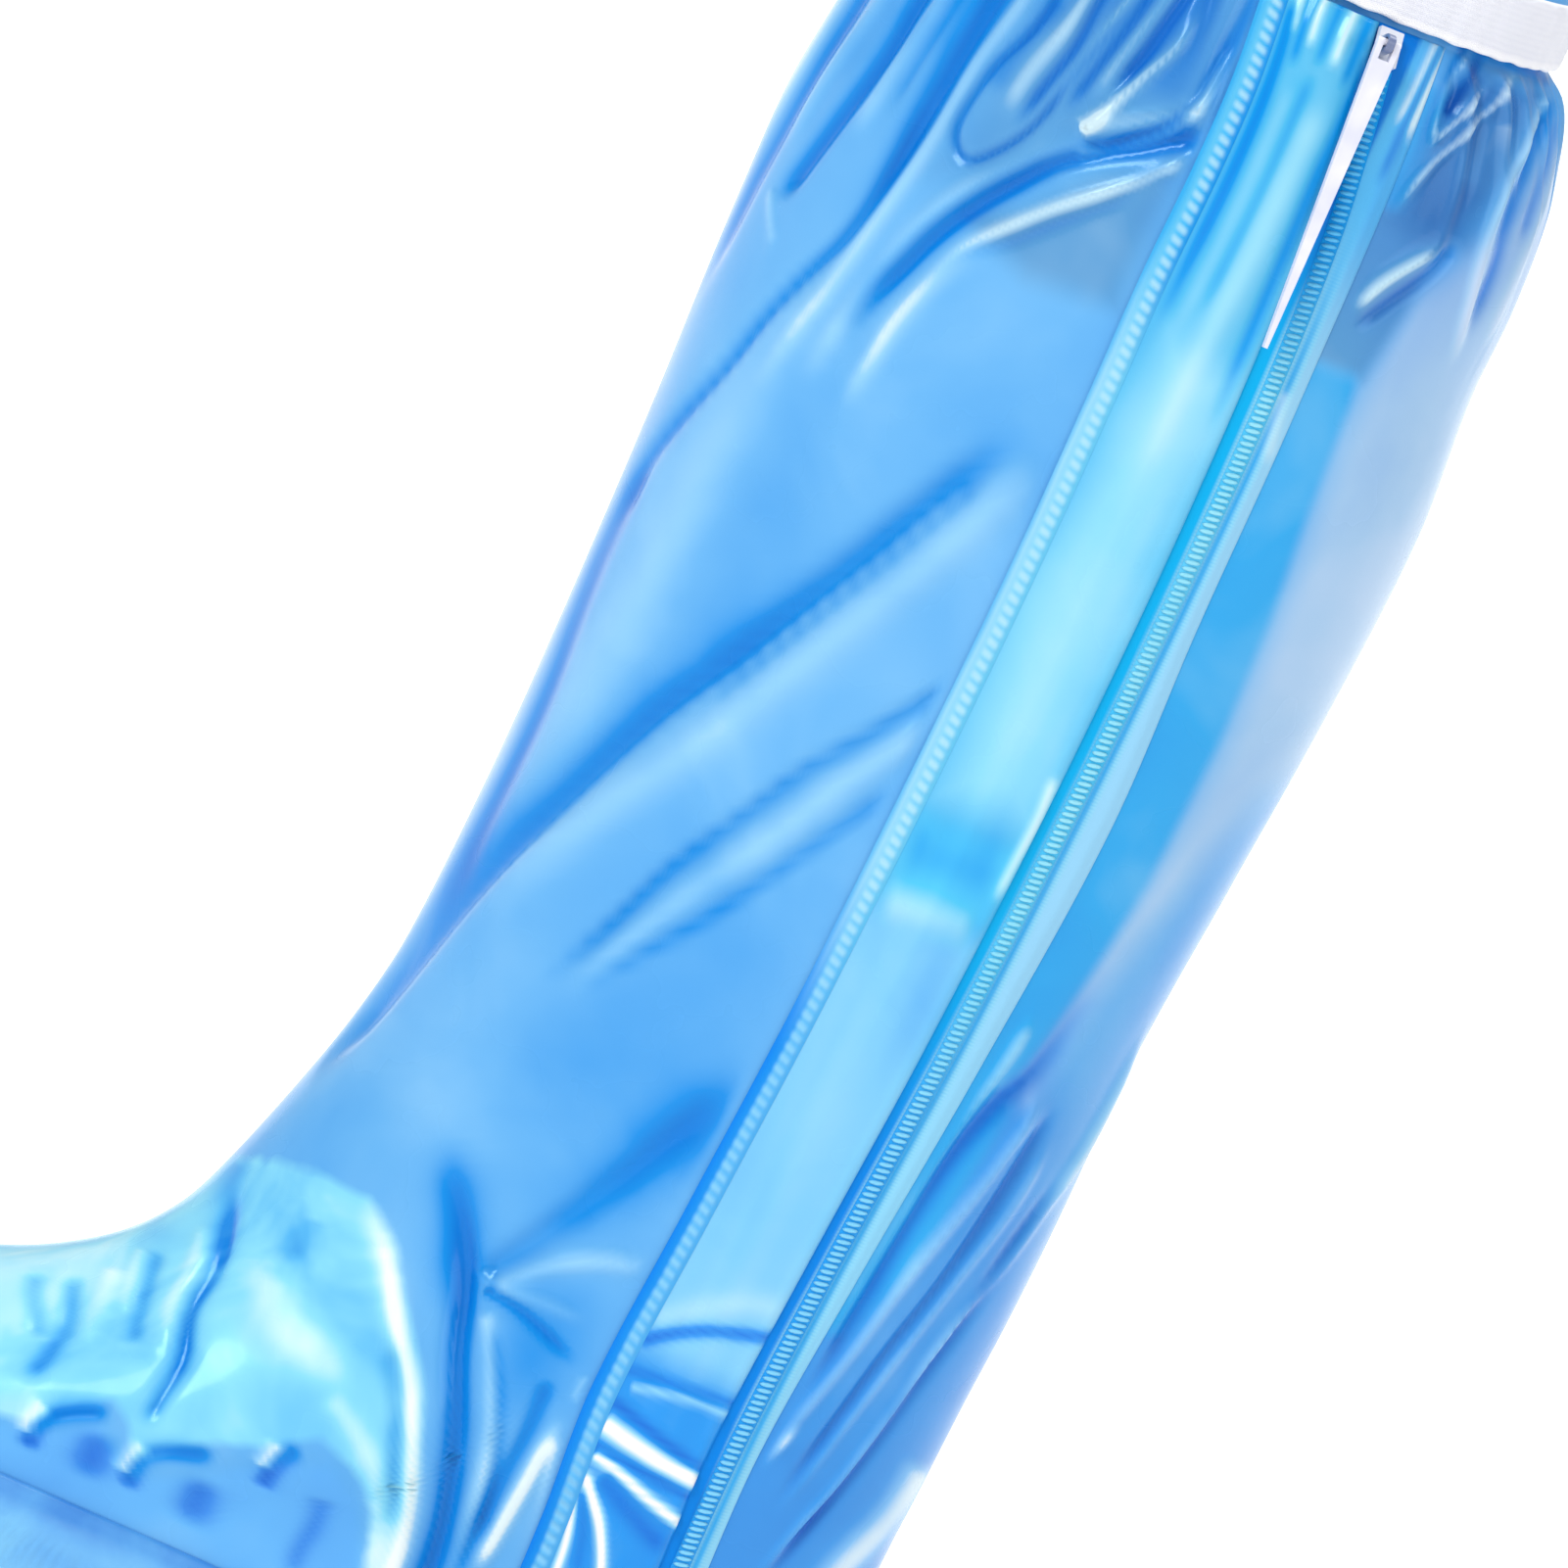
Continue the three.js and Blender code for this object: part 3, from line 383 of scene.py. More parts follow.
    (-0.7, -1.3, 1.9, [(-1.8, 50), (-1.4, 56.8), (1.8, 60.4), (8.9, 63), (13, 64)]),
    (-0.6, -1.1, 1.9, [(23.2, 62), (23.6, 66), (25, 70), (27.7, 73)]),
    (0.5, 1.2, 2.1, [(-25.4, 52), (-24.8, 56), (-23.5, 59.5)]),
    (0.5, 1.2, 2.1, [(-3.9, 53), (-3.2, 57), (-1.8, 60.5)]),
    (0.5, 1.1, 2.0, [(21.4, 66), (22, 69), (22.8, 72.5)]),
    (-0.8, -0.9, 3.9, [(-11, 60), (-10.5, 54), (-10.5, 48)], 0, (0.4, 0.4)),
    (-0.8, -0.9, 3.9, [(12.3, 60), (12.5, 54), (12.8, 48)], 0, (0.4, 0.4)),
    (-0.4, -0.5, 2.2, [(35.4, 66), (36.2, 60), (35.6, 54), (36, 48)]),
    # Folds behind the zip
    (-0.8, -0.9, 0.9, [(121, 214), (120, 203), (116.4, 181.4), (114.3, 160), (113, 141), (112.9, 125)]),
    (1.0, 0.5, 1.5, [(125, 216), (123, 203), (120, 188.6), (118, 174.3), (116.4, 158)]),
    (-1.6, -1.1, 2.3, [(134, 234), (130.7, 207), (125.7, 195.7), (122, 181.4), (120, 167), (118.6, 153),
        (116.4, 138.6), (114.3, 122)], 0, (0.3, 0.2)),
    (1.3, 0.5, 1.3, [(134, 202), (130, 181.4), (126.4, 167), (123, 153), (120, 138.6), (115.7, 121.4),
        (112, 108)]),
    (-1.2, -0.7, 1.2, [(137, 202), (135, 184), (131.4, 160), (127, 141), (123, 121), (119, 102)]),
    (0.9, 0.35, 1.1, [(139, 194), (137, 177), (133, 160), (129.3, 143), (125, 124), (120, 100)]),
    (1.6, 0.95, 1.0, [(147.5, 224), (145.7, 196), (143.6, 181), (140, 163), (135.7, 146), (133, 130),
        (129.3, 113), (125.7, 101), (121, 84)]),
    (-1.3, -1.1, 1.3, [(145, 190), (141, 170), (138, 152), (134.5, 135), (131.4, 118.6), (127, 101),
        (123, 84)]),
    (1.5, 1.5, 1.3, [(110.5, 108.5), (113, 111.5), (117, 121.4)], 0, (0.05, 0.5)),
    (0.8, 1.1, 3.2, [(144, 124), (141.5, 110), (137, 97), (134, 84)]),
    # Gathers below the band behind the zip
    (-0.6, -1.0, 1.3, [(104, 429), (118, 430), (130, 431), (144, 432.5)], 0, (0.05, 0.05)),
    (-1.1, -1.0, 1.2, [(120.3, 432), (120, 424), (119.7, 414), (119.4, 400)]),
    (0.9, 0.9, 0.8, [(121.8, 430), (120.5, 418), (122.7, 410), (126, 418), (129, 428)]),
    (-1.0, -1.0, 1.2, [(124.3, 430), (123.8, 422), (123.3, 414)]),
    (0.9, 0.8, 0.9, [(132.5, 431), (131.3, 423), (129.3, 418), (126.7, 411), (123.3, 402), (120.7, 391)]),
    (0, 0.35, 3.0, [(134, 420), (133.3, 411), (133, 403)]),
    (1.6, 1.2, 1.4, [(133, 393), (131.3, 388.7), (126, 380.7), (121.3, 371)], 0, (0.3, 0.2)),
    (-1.0, -0.6, 1.3, [(136, 393), (133.5, 385), (129, 377), (124, 368)]),
    (1.0, 0.7, 1.1, [(140, 432), (140, 423), (140, 410), (140.7, 397), (143.3, 383), (145.3, 370)]),
    (-0.9, -0.9, 1.3, [(141.5, 430), (142.2, 416), (143.3, 403), (145.3, 390), (145.6, 376)]),
    (0.7, 0.5, 1.2, [(146, 424), (148.5, 408), (149.5, 392), (150, 375)]),
    (-0.7, -0.7, 1.2, [(144.5, 427), (146.8, 412), (148, 398)]),
]

# Folds of the side away from the zip, in the same view
FAR_FOLDS = [
    (-1.8, -0.6, 5.1, [(112, 408), (86, 372), (62, 330), (44, 288), (28, 236), (14, 190)]),
    (1.4, 0.3, 6.1, [(124, 392), (98, 348), (74, 300), (54, 252), (36, 200)]),
    (-1.2, -0.3, 4.2, [(132, 340), (112, 300), (88, 252), (66, 206), (52, 176)]),
    (1.0, 0.3, 4.5, [(128, 322), (106, 280), (84, 236), (64, 196)]),
    (-2.6, -0.8, 5.4, [(34, 146), (44, 126), (52, 106), (62, 86), (66, 66), (67, 52)], 0, (0.15, 0.05)),
    (1.9, 0.8, 3.4, [(24, 122), (36, 108), (46, 92), (54, 76), (58, 60), (59, 50)], 0, (0.12, 0.05)),
    (-1.8, -0.6, 5.8, [(56, 120), (66, 138), (76, 156), (88, 176)], 0, START),
    (1.0, 0.4, 3.4, [(58, 116), (70, 106), (80, 90), (88, 72)], 0, START),
    (-1.1, -0.5, 3.4, [(60, 112), (72, 98), (82, 80), (88, 62)]),
    (1.0, 0.5, 3.4, [(104, 118), (100, 100), (98, 82), (98, 66)]),
    (-1.3, -0.5, 3.8, [(124, 200), (116, 160), (108, 124), (104, 96)]),
    (1.1, 0.4, 3.4, [(138, 190), (131, 150), (124, 118), (118, 92)]),
    (-1.0, -0.5, 3.4, [(-9, 118), (-6, 104), (-7, 90), (-3, 76)]),
    (-0.8, -0.4, 3.4, [(-28, 86), (-25, 76), (-27, 64)]),
    (1.2, 0.5, 3.4, [(92, 392), (76, 372), (62, 352), (56, 332)]),
    (-1.1, -0.4, 3.4, [(96, 384), (80, 364), (66, 342), (60, 322)]),
]

# Colour zones of the film as outlines in the side view, with the softness of their edges
# Painted sheen over the top of the foot, where it faces the light
FOOT_SHEEN = [
    (-170, 110), (-60, 110), (-16, 120), (-4, 123), (6, 125), (18, 125), (26, 119), (34, 110), (41, 101),
    (46, 92), (50, 82), (53, 72), (54, 60), (53, 50), (49, 60), (45, 68), (38, 74), (30, 76), (24, 72),
    (20, 70), (12, 67), (6, 63), (0, 58), (-3, 56), (-7, 62), (-12, 65), (-17, 61), (-22, 57), (-26, 55),
    (-34, 54), (-60, 52), (-90, 50), (-170, 48),
]
LOW_FOOT = [
    (-170, 20), (-170, 47), (-34, 52), (-24, 52), (-12, 60), (-2, 52), (12, 60), (24, 68), (34, 72),
    (42, 68), (48, 58), (52, 44), (52, 20),
]
REAR_PANEL = [
    (131, 378), (131.5, 352), (133.5, 330), (136, 305), (137, 280), (135, 250), (131, 228), (128, 205),
    (131, 200), (134, 222), (138, 240), (143, 258), (148, 275), (158, 290), (160, 420), (146, 424),
    (143, 400), (136, 386),
]
REAR_LOW = [(106, 200), (122, 206), (134, 205), (142, 190), (150, 160), (160, 120), (160, 40), (100, 40)]
DOUBLED_FILM = [
    (114, 420), (123.9, 419), (123.2, 392), (128, 373), (130.2, 354), (132, 330), (134.3, 307),
    (135.4, 281), (134.5, 250), (131, 220), (128, 188), (124, 159), (118, 140), (112, 140),
]
DARK_TOP = [(121, 428), (139, 428), (139, 408), (137, 394), (131, 390), (122, 392)]
GREY_PANEL = [(44, 356), (54, 362), (66, 375), (79, 384), (79, 352), (60, 350)]
GREY_TOP = [(34, 362), (46, 364), (58, 376), (79, 390), (79, 428), (50, 424), (38, 400)]
GREY_BEHIND = [(118, 394), (134, 394), (133, 376), (130.5, 360), (118, 359)]


# Broad soft patches of painted light and shade on the film: how much lighter or darker, centre, and
# spread across and up
SOFT_SHADES = [
    (0.35, (17, 275), (6, 50)),
    (-0.12, (33, 285), (6, 45)),
    (-0.2, (60, 190), (18, 28)),
    (-0.25, (44, 160), (14, 26)),
    (0.15, (56, 385), (26, 22)),
    (0.1, (22, 165), (10, 30)),
    (-0.3, (146, 235), (5, 30)),
    (-0.5, (62, 112), (9, 14)),
    (0.25, (60, 132), (10, 5)),
    (-0.3, (8, 108), (5, 9)),
    (-0.3, (34, 98), (8, 7)),
    (0.35, (22, 92), (10, 6)),
    (0.3, (4, 72), (12, 6)),
    (-0.25, (-18, 100), (8, 8)),
]


def soft_shades(x, height):
    """Painted light and shade: the sum of wide bells, one for each soft patch."""
    total = np.zeros(x.shape)
    for painted_light, (middle_x, middle_height), (wide, tall) in SOFT_SHADES:
        total += painted_light * np.exp(-((x - middle_x) / wide) ** 2 - ((height - middle_height) / tall) ** 2)
    return total


def grid_faces(rows, columns, wrap):
    """Quads between neighbouring rows and columns of points, joined round where wrap is true."""
    row = np.arange(rows - 1)[:, None] * columns
    column = np.arange(columns if wrap else columns - 1)[None, :]
    following = (column + 1) % columns
    corners = [row + column, row + following, row + columns + following, row + columns + column]
    return np.stack(corners, -1).reshape(-1, 4)


def shorter_diagonals(points, faces):
    """The same quads, each starting at the corner from which its shorter diagonal leaves."""
    a, b, c, d = (points[faces[:, corner]] for corner in range(4))
    longer = np.linalg.norm(a - c, axis=1) > np.linalg.norm(b - d, axis=1)
    return np.where(longer[:, None], np.roll(faces, -1, axis=1), faces)


def mesh_of(name, points, face_lists, smooth_angle=None):
    """Object from an array of points in millimetres and arrays of faces, each of one size."""
    mesh = bpy.data.meshes.new(name)
    points = points.reshape(-1, 3) * MM
    face_lists = [shorter_diagonals(points, faces) if faces.shape[1] == 4 else faces for faces in face_lists]
    mesh.vertices.add(len(points))
    mesh.vertices.foreach_set("co", points.astype(np.float32).ravel())
    sizes = np.concatenate([np.full(len(faces), faces.shape[1]) for faces in face_lists])
    corners = np.concatenate([faces.ravel() for faces in face_lists]).astype(np.int32)
    starts = np.concatenate([[0], np.cumsum(sizes)[:-1]]).astype(np.int32)
    mesh.loops.add(len(corners))
    mesh.polygons.add(len(sizes))
    mesh.polygons.foreach_set("loop_start", starts)
    mesh.polygons.foreach_set("vertices", corners)
    mesh.update(calc_edges=True)
    mesh.shade_smooth()
    if smooth_angle is not None:
        mesh.set_sharp_from_angle(angle=math.radians(smooth_angle))
    piece = bpy.data.objects.new(name, mesh)
    bpy.context.scene.collection.objects.link(piece)
    return piece


def set_values(piece, **values):
    """Stores one number a vertex under each name, for the piece's material."""
    for name, value in values.items():
        attribute = piece.data.attributes.new(name, "FLOAT", "POINT")
        attribute.data.foreach_set("value", np.ascontiguousarray(value, np.float32).ravel())


def closed_skin(name, rings, **options):
    """Closed object over a stack of rings of the same count, with a point in the middle of each end."""
    rows, columns = rings.shape[:2]
    points = np.vstack([rings.reshape(-1, 3), rings[0].mean(0), rings[-1].mean(0)])
    low = rows * columns
    column = np.arange(columns)
    following = (column + 1) % columns
    last = (rows - 1) * columns
    bottom = np.stack([np.full(columns, low), following, column], -1)
    top = np.stack([np.full(columns, low + 1), last + column, last + following], -1)
    return mesh_of(name, points, [grid_faces(rows, columns, True), bottom, top], **options)


def pad_ends(values):
    """Values of a stack of rings, with those of its two middle points after them."""
    return np.concatenate([values.ravel(), [values[0].mean(), values[-1].mean()]])


def level_ring(angles, level, outward, z=None):
    """A section of the smooth film moved level outward, and set down at another height if one is given."""
    points = smooth_film(angles, level) + film_normal(angles, level, True) * outward
    if z is not None:
        points[..., 2] = z
    return points


def clear_of_zip(x, z):
    """0 under the sewn zip parts, where the film lies smooth, and 1 a little way off them."""
    before = smoothstep(through(ZIP_LINES, SEAM, z) - x, 3, 6.5)
    after = smoothstep(x - through(ZIP_LINES, FACING, z), 0.8, 4)
    return np.maximum(before, after)


PLEATS = 74
PLEATS_TOP = 434


def gathers(around, z):
    """Rise of the fine pleats that the elastic draws in: each is a bell across its own slanting line,
    deepest under the band, with its own width, length and slant."""
    generator = np.random.default_rng(11)
    rise = np.zeros(around.shape)
    places = (np.arange(PLEATS) + generator.uniform(-0.3, 0.3, PLEATS)) / PLEATS
    below = np.maximum(PLEATS_TOP - z, 0)
    for number, place in enumerate(places):
        width = generator.uniform(0.0032, 0.0062)
        length = generator.uniform(12, 42)
        slant = generator.uniform(-0.0004, 0.0004)
        depth = generator.uniform(0.5, 1.3) * (1 if number % 2 else -1)
        offset = (around - place - slant * below + 0.5) % 1 - 0.5
        rise += depth * np.exp(-(offset / width) ** 2 - (below / length) ** 2)
    fade = 1 - smoothstep(z, 431, 436)
    return rise * fade


FILM_COLUMNS_ZIP_SIDE = 270
FILM_COLUMNS_FAR_SIDE = 84
FILM_ROWS = 240
LINING_STEP = 8
LINING_DEPTH = 1.1
FOLDED_FROM = 14
FOLDED_TO = 436


def film_heights(angles):
    """Heights of the film's rows, column by column: equal steps along each column's own profile, shorter
    over the foot and the ankle and under the band."""
    z = np.linspace(FOLDED_FROM, FOLDED_TO, 700)[:, None]
    profile = smooth_film(angles, z)
    steps = np.linalg.norm(np.diff(profile, axis=0), axis=-1)
    middle = (z[1:] + z[:-1]) / 2
    foot = 0.95 * (1 - smoothstep(middle, 125, 150))
    loops = 1.4 * smoothstep(middle, 335, 350) - 0.9 * smoothstep(middle, 390, 402)
    steps = steps * (0.35 + smoothstep(middle, 38, 46) * (0.4 + foot + loops))
    travelled = np.vstack([np.zeros(steps.shape[1]), np.cumsum(steps, axis=0)])
    wanted = np.linspace(0, 1, FILM_ROWS)
    columns = [np.interp(wanted * way[-1], way, z[:, 0]) for way in travelled.T]
    return np.stack(columns, -1)


def deepest_near(rise, step, columns):
    """Deepest valley within a step of each step-th row and some columns to both sides, from above down."""
    depth = np.maximum(-rise, 0)
    rows = range(len(depth) - 1, -1, -step)
    deepest = np.stack([depth[max(row - step, 0):row + step + 1].max(0) for row in rows])
    return np.maximum.reduce([np.roll(deepest, shift, axis=1) for shift in range(-columns, columns + 1)])


def film_piece():
    """The film boot: a grid round and up the smooth film, moved out and in by its folds and gathers,
    closed by an inner face that lies a little inside it."""
    far = np.linspace(0, np.pi, FILM_COLUMNS_FAR_SIDE, endpoint=False)
    near = np.linspace(np.pi, 2 * np.pi, FILM_COLUMNS_ZIP_SIDE, endpoint=False)
    angles = np.concatenate([far, near])[None, :]
    above = np.array([[440], [FILM_TOP]]) * np.ones(angles.shape)
    heights = np.vstack([film_heights(angles), above])
    smooth = smooth_film(angles, heights)
    normal = film_normal(angles, heights)
    x = smooth[..., 0]
    z = smooth[..., 2]
    height = view_height(smooth)
    zip_side = (smooth[..., 1] < 0) & (angles > np.pi - 0.001)
    turn = smoothstep(np.abs(np.sin(angles)), 0.0, 0.22)
    near_rise, near_painted_light = draw_folds(FOLDS, x, height)
    far_rise, far_painted_light = draw_folds(FAR_FOLDS, x, height)
    clear = np.where(zip_side, clear_of_zip(x, z), 1)
    edges = smoothstep(z, SOLE_TOP + 0.5, SOLE_TOP + 7) * (1 - smoothstep(z, 426, 435))
    around = np.broadcast_to(angles / (2 * np.pi), z.shape)
    pleats = gathers(around, z)
    rise = np.where(zip_side, near_rise, far_rise) * turn * edges * clear + pleats * clear
    # Painted light and shade: that of the folds, lighter pleat ridges and darker pleat valleys, darker
    # towards the top, and the broad soft patches
    painted_light = np.where(zip_side, near_painted_light, far_painted_light) * turn * clear + 0.25 * pleats
    painted_light = painted_light - 0.3 * smoothstep(height, 350, 400) + soft_shades(x, height)
    outer = smooth + normal * rise[..., None]
    grey_behind = soft_zone(GREY_BEHIND, 2.5, x, height)
    zones = {
        "sheen": soft_zone(FOOT_SHEEN, 3.4, x, height),
        "low_foot": soft_zone(LOW_FOOT, 2.0, x, height),
        "rear_panel": soft_zone(REAR_PANEL, 5, x, height) * (1 - grey_behind) * zip_side,
        "doubled": soft_zone(DOUBLED_FILM, 1.8, x, height) * (1 - grey_behind) * zip_side,
        "dark_top": soft_zone(DARK_TOP, 5, x, height) * zip_side,
        "grey": (soft_zone(GREY_PANEL, 4, x, height) + grey_behind
                 + 0.7 * soft_zone(GREY_TOP, 8, x, height)).clip(0, 1) * zip_side,
        "behind": soft_zone(REAR_LOW, 8, x, height),
    }
    inner_heights = np.vstack([heights[:-3:-1], heights[FILM_ROWS - 1::-LINING_STEP]])
    valleys = deepest_near(rise[:FILM_ROWS], LINING_STEP, 3)
    thickness = LINING_DEPTH + 4.6 * (1 - smoothstep(inner_heights, 428, 436))
    thickness[2:] += valleys
    inner = smooth_film(angles, inner_heights) - film_normal(angles, inner_heights) * thickness[..., None]
    bottom = np.stack([level_ring(angles[0], FOOTPRINT_LEVEL, -inset, FILM_BOTTOM + up)
                       for up, inset in ((0, 9), (0, 6), (0.8, 3.6), (2.4, 1.8), (5, 0.5))])
    inner_bottom = np.stack([level_ring(angles[0], FOOTPRINT_LEVEL, -inset, FILM_BOTTOM + up)
                             for up, inset in ((4, 7.5), (1.5, 11))])
    rings = np.concatenate([bottom, outer, inner, inner_bottom])
    piece = closed_skin("film_boot", rings)
    plain_low = np.zeros(bottom.shape[:2])
    plain_high = np.zeros((len(inner) + len(inner_bottom), angles.size))
    stack = {"painted_light": painted_light, **zones}
    set_values(piece, **{
        name: pad_ends(np.concatenate([plain_low, value, plain_high])) for name, value in stack.items()
    })
    return piece


def strip_piece(name, from_x, to_x, low, high, across, rows, under, over, shades):
    """Thin closed strip on the zip side between two lines: a face over it and one under it, joined
    along its four edges. Under and over are lifts off the smooth film."""
    share = np.linspace(0, 1, across + 1)[None, :]
    z = np.linspace(low, high, rows + 1)[:, None]
    x = from_x(z) + (to_x(z) - from_x(z)) * share
    z = np.broadcast_to(z, x.shape)
    share = np.broadcast_to(share, x.shape)
    top = zip_side_point(x, z, over(x, z, share))
    bottom = zip_side_point(x, z, under(x, z, share))
    count = top.shape[0] * top.shape[1]
    face = grid_faces(rows + 1, across + 1, False)
    index = np.arange(count).reshape(top.shape[:2])
    rim = np.concatenate([index[0, :-1], index[:-1, -1], index[-1, :0:-1], index[:0:-1, 0]])
    following = np.roll(rim, -1)
    sides = np.stack([rim + count, following + count, following, rim], -1)
    faces = np.concatenate([face, face[:, ::-1] + count, sides])
    points = np.concatenate([top.reshape(-1, 3), bottom.reshape(-1, 3)])
    piece = mesh_of(name, points, [faces], smooth_angle=60)
    values = shades(x, view_height(top), share)
    set_values(piece, **{key: np.tile(value.ravel(), 2) for key, value in values.items()})
    return piece


def line(column, shift=0):
    """X of a line of the zip side at a height, moved by a shift."""
    return lambda z: through(ZIP_LINES, column, z) + shift


def flat(lift):
    """The same lift all over a strip."""
    return lambda x, z, share: np.full(x.shape, lift)


# Folds of the flap, in the same form as the film's, with painted shade in their valleys and painted
# highlights on their ridges
FLAP_FOLDS = [
    (-0.5, -0.9, 1.4, [(80, 122), (85, 126), (92, 130), (101, 133), (108, 135)], 0, (0.05, 0.1)),
    (0.5, 0.3, 2.5, [(80, 127), (88, 133), (96, 138), (106, 141)]),
    (-0.5, -0.6, 1.1, [(80, 116), (88, 117), (98, 118), (106, 119)], 0, (0.05, 0.1)),
    (0.5, 0.5, 1.1, [(82, 113), (90, 115), (98, 116), (106, 116)], 0, (0.05, 0.1)),
    (-0.6, -0.9, 1.3, [(80, 109), (88, 107), (96, 105), (106, 103)], 0, (0.05, 0.1)),
    (1.2, 1.6, 2.0, [(80, 104), (88, 102.5), (96, 101.5), (107, 101)], 0, (0.05, 0.05)),
    (-0.5, -0.8, 1.0, [(80, 99), (88, 98.5), (96, 98), (107, 97.5)], 0, (0.05, 0.1)),
    (1.0, 1.5, 1.2, [(81, 97.5), (88, 96), (96, 93.5), (107, 91)], 0, (0.05, 0.05)),
    (-0.6, -0.7, 2.2, [(84, 94), (92, 90), (104, 85)]),
    (1.0, 1.5, 1.1, [(80.5, 94), (85, 89), (89, 84), (93, 76), (95, 68)]),
    (0.8, 1.2, 0.9, [(79.5, 92), (82, 86), (84, 78), (85, 68)]),
    (-0.5, -0.5, 1.4, [(82, 90), (86, 82), (89, 72)]),
    # Small gathers under the band and soft waves along the flap
    (0.6, 0.7, 0.9, [(86, 432), (86.5, 424), (88, 416)]),
    (-0.5, -0.5, 1.0, [(89, 432), (89, 422), (90.5, 410)]),
    (0.6, 0.8, 0.9, [(92, 432), (91, 424), (92, 415)]),
    (-0.5, -0.4, 1.0, [(95, 432), (94.5, 424), (95, 412)]),
    (0.6, 0.8, 1.1, [(98, 432), (97.5, 423), (98, 413)]),
    (-0.4, -0.4, 1.0, [(101, 432), (101, 422), (101.5, 410)]),
    (0.3, 0.25, 2.4, [(99, 408), (99.5, 380), (98.5, 350), (98, 320)]),
    (-0.3, -0.5, 1.3, [(104, 422), (104.5, 395), (105.5, 365), (106.5, 335)]),
    (-0.3, -0.7, 1.3, [(85.5, 424), (88, 405), (88.8, 385), (88.4, 365), (88, 345)], 0, (0.05, 0.4)),
    (0.3, 0.15, 1.4, [(92, 408), (92.5, 380), (92, 350)]),
    (-0.2, -0.3, 1.2, [(95, 412), (95.6, 385), (95, 356)]),
    (0.5, 0.5, 4.0, [(86, 224), (96, 226), (107, 227)], 0, (0.2, 0.2)),
    (-0.5, -0.4, 5.0, [(86, 236), (96, 237), (107, 238)], 0, (0.2, 0.2)),
    (0.4, 0.8, 1.2, [(108, 262), (108.6, 252), (108, 242), (107.5, 232)]),
]
# Painted glow down the flap's middle
FLAP_GLOW = [(91, 352), (106, 348), (108, 250), (88, 248), (86, 290)]
FLAP_LOW = [(78, 224), (110, 224), (108, 60), (76, 60)]
FLAP_RICH = [(88, 243), (107, 243), (107, 229), (88, 227)]


def flap_fold_rise(x, z):
    """Rise of the flap's folds, none along its seam."""
    height = view_height(zip_side_point(x, z, 0))
    rise, _ = draw_folds(FLAP_FOLDS, x, height)
    past = smoothstep(x - through(ZIP_LINES, SEAM, z) - SEAM_WIDTH / 2, 0.5, 4)
    return rise * past * smoothstep(z, ZIP_BOTTOM, ZIP_BOTTOM + 15)


def flap_under(x, z, share):
    """Underside of the flap: low along its seam, up over the tape, and lifted along its folds."""
    edge = through(ZIP_LINES, EDGE, z)
    ramp = smoothstep(x, edge - 17, edge - 11)
    return LAID_ON + ramp * (TAPE_THICKNESS + 0.15) + np.maximum(flap_fold_rise(x, z), -0.1)


def flap_over(x, z, share):
    """Outer face of the flap: its thickness over the underside, thinned and rounded at the free edge."""
    edge = through(ZIP_LINES, EDGE, z)
    hem = np.exp(-((edge - x - 1.6) / 0.8) ** 2)
    round_off = 0.6 * smoothstep(x, edge - 0.9, edge) ** 2
    thickness = 0.5 + 0.4 * smoothstep(x, edge - 17, edge - 11)
    return flap_under(x, z, share) + thickness - round_off + 0.25 * hem


def flap_shades(x, height, share):
    _, painted_light = draw_folds(FLAP_FOLDS, x, height)
    return {
        "painted_light": painted_light,
        "glow": soft_zone(FLAP_GLOW, 7, x, height),
        "lower": soft_zone(FLAP_LOW, 6, x, height),
        "rich": soft_zone(FLAP_RICH, 4, x, height),
        "ankle": 1 - smoothstep(height, 116, 126),
    }


STITCH_PITCH = 2.5


def stitch_row(z, share):
    """Height of the stitches between 0 and 1: slanting bars at a steady pitch in the strip's right half."""
    bars = 0.5 + 0.5 * np.cos(2 * np.pi * (z + 1.6 * share) / STITCH_PITCH)
    return np.exp(-((share - 0.63) / 0.22) ** 4) * bars ** 0.8


def seam_over(x, z, share):
    """Outer face of the stitched strip: a low rounded strip with a bead along its left and a row of
    stitches across its right half."""
    bead = 0.18 * np.exp(-((share - 0.22) / 0.14) ** 2)
    rim = 0.35 * smoothstep(np.abs(share - 0.5), 0.34, 0.5)
    return LAID_ON + 0.95 + bead + 0.35 * stitch_row(z, share) - rim


def seam_shades(x, height, share):
    return {
        "share": share,
        "stitch": stitch_row((height - VIEW_LEVEL) / math.cos(VIEW_TILT), share),
        "lower": 1 - smoothstep(height, 185, 235),
        "upper": smoothstep(height, 335, 375),
    }


def tape_over(x, z, share):
    """Outer face of the tape: flat, with a low cord where it meets the facing, and thin at its edge."""
    cord = 0.15 * np.exp(-((share - 0.88) / 0.05) ** 2)
    return LAID_ON + TAPE_THICKNESS + cord - 0.8 * smoothstep(share, 0.9, 1)


# Painted highlights and painted shade on the gathered top of the tape, as light and dark streaks in the
# same form as the folds
TAPE_STREAKS = [
    (0, 1.0, 0.8, [(115.2, 430), (115, 419), (114.6, 408)]),
    (0, 1.4, 0.8, [(117.9, 431), (117.5, 420), (117.6, 406)]),
    (0, -0.8, 1.0, [(116.3, 430), (116.2, 415), (116.3, 395)]),
    (0, 0.5, 1.3, [(117, 352), (118.4, 344), (120, 336)]),
]


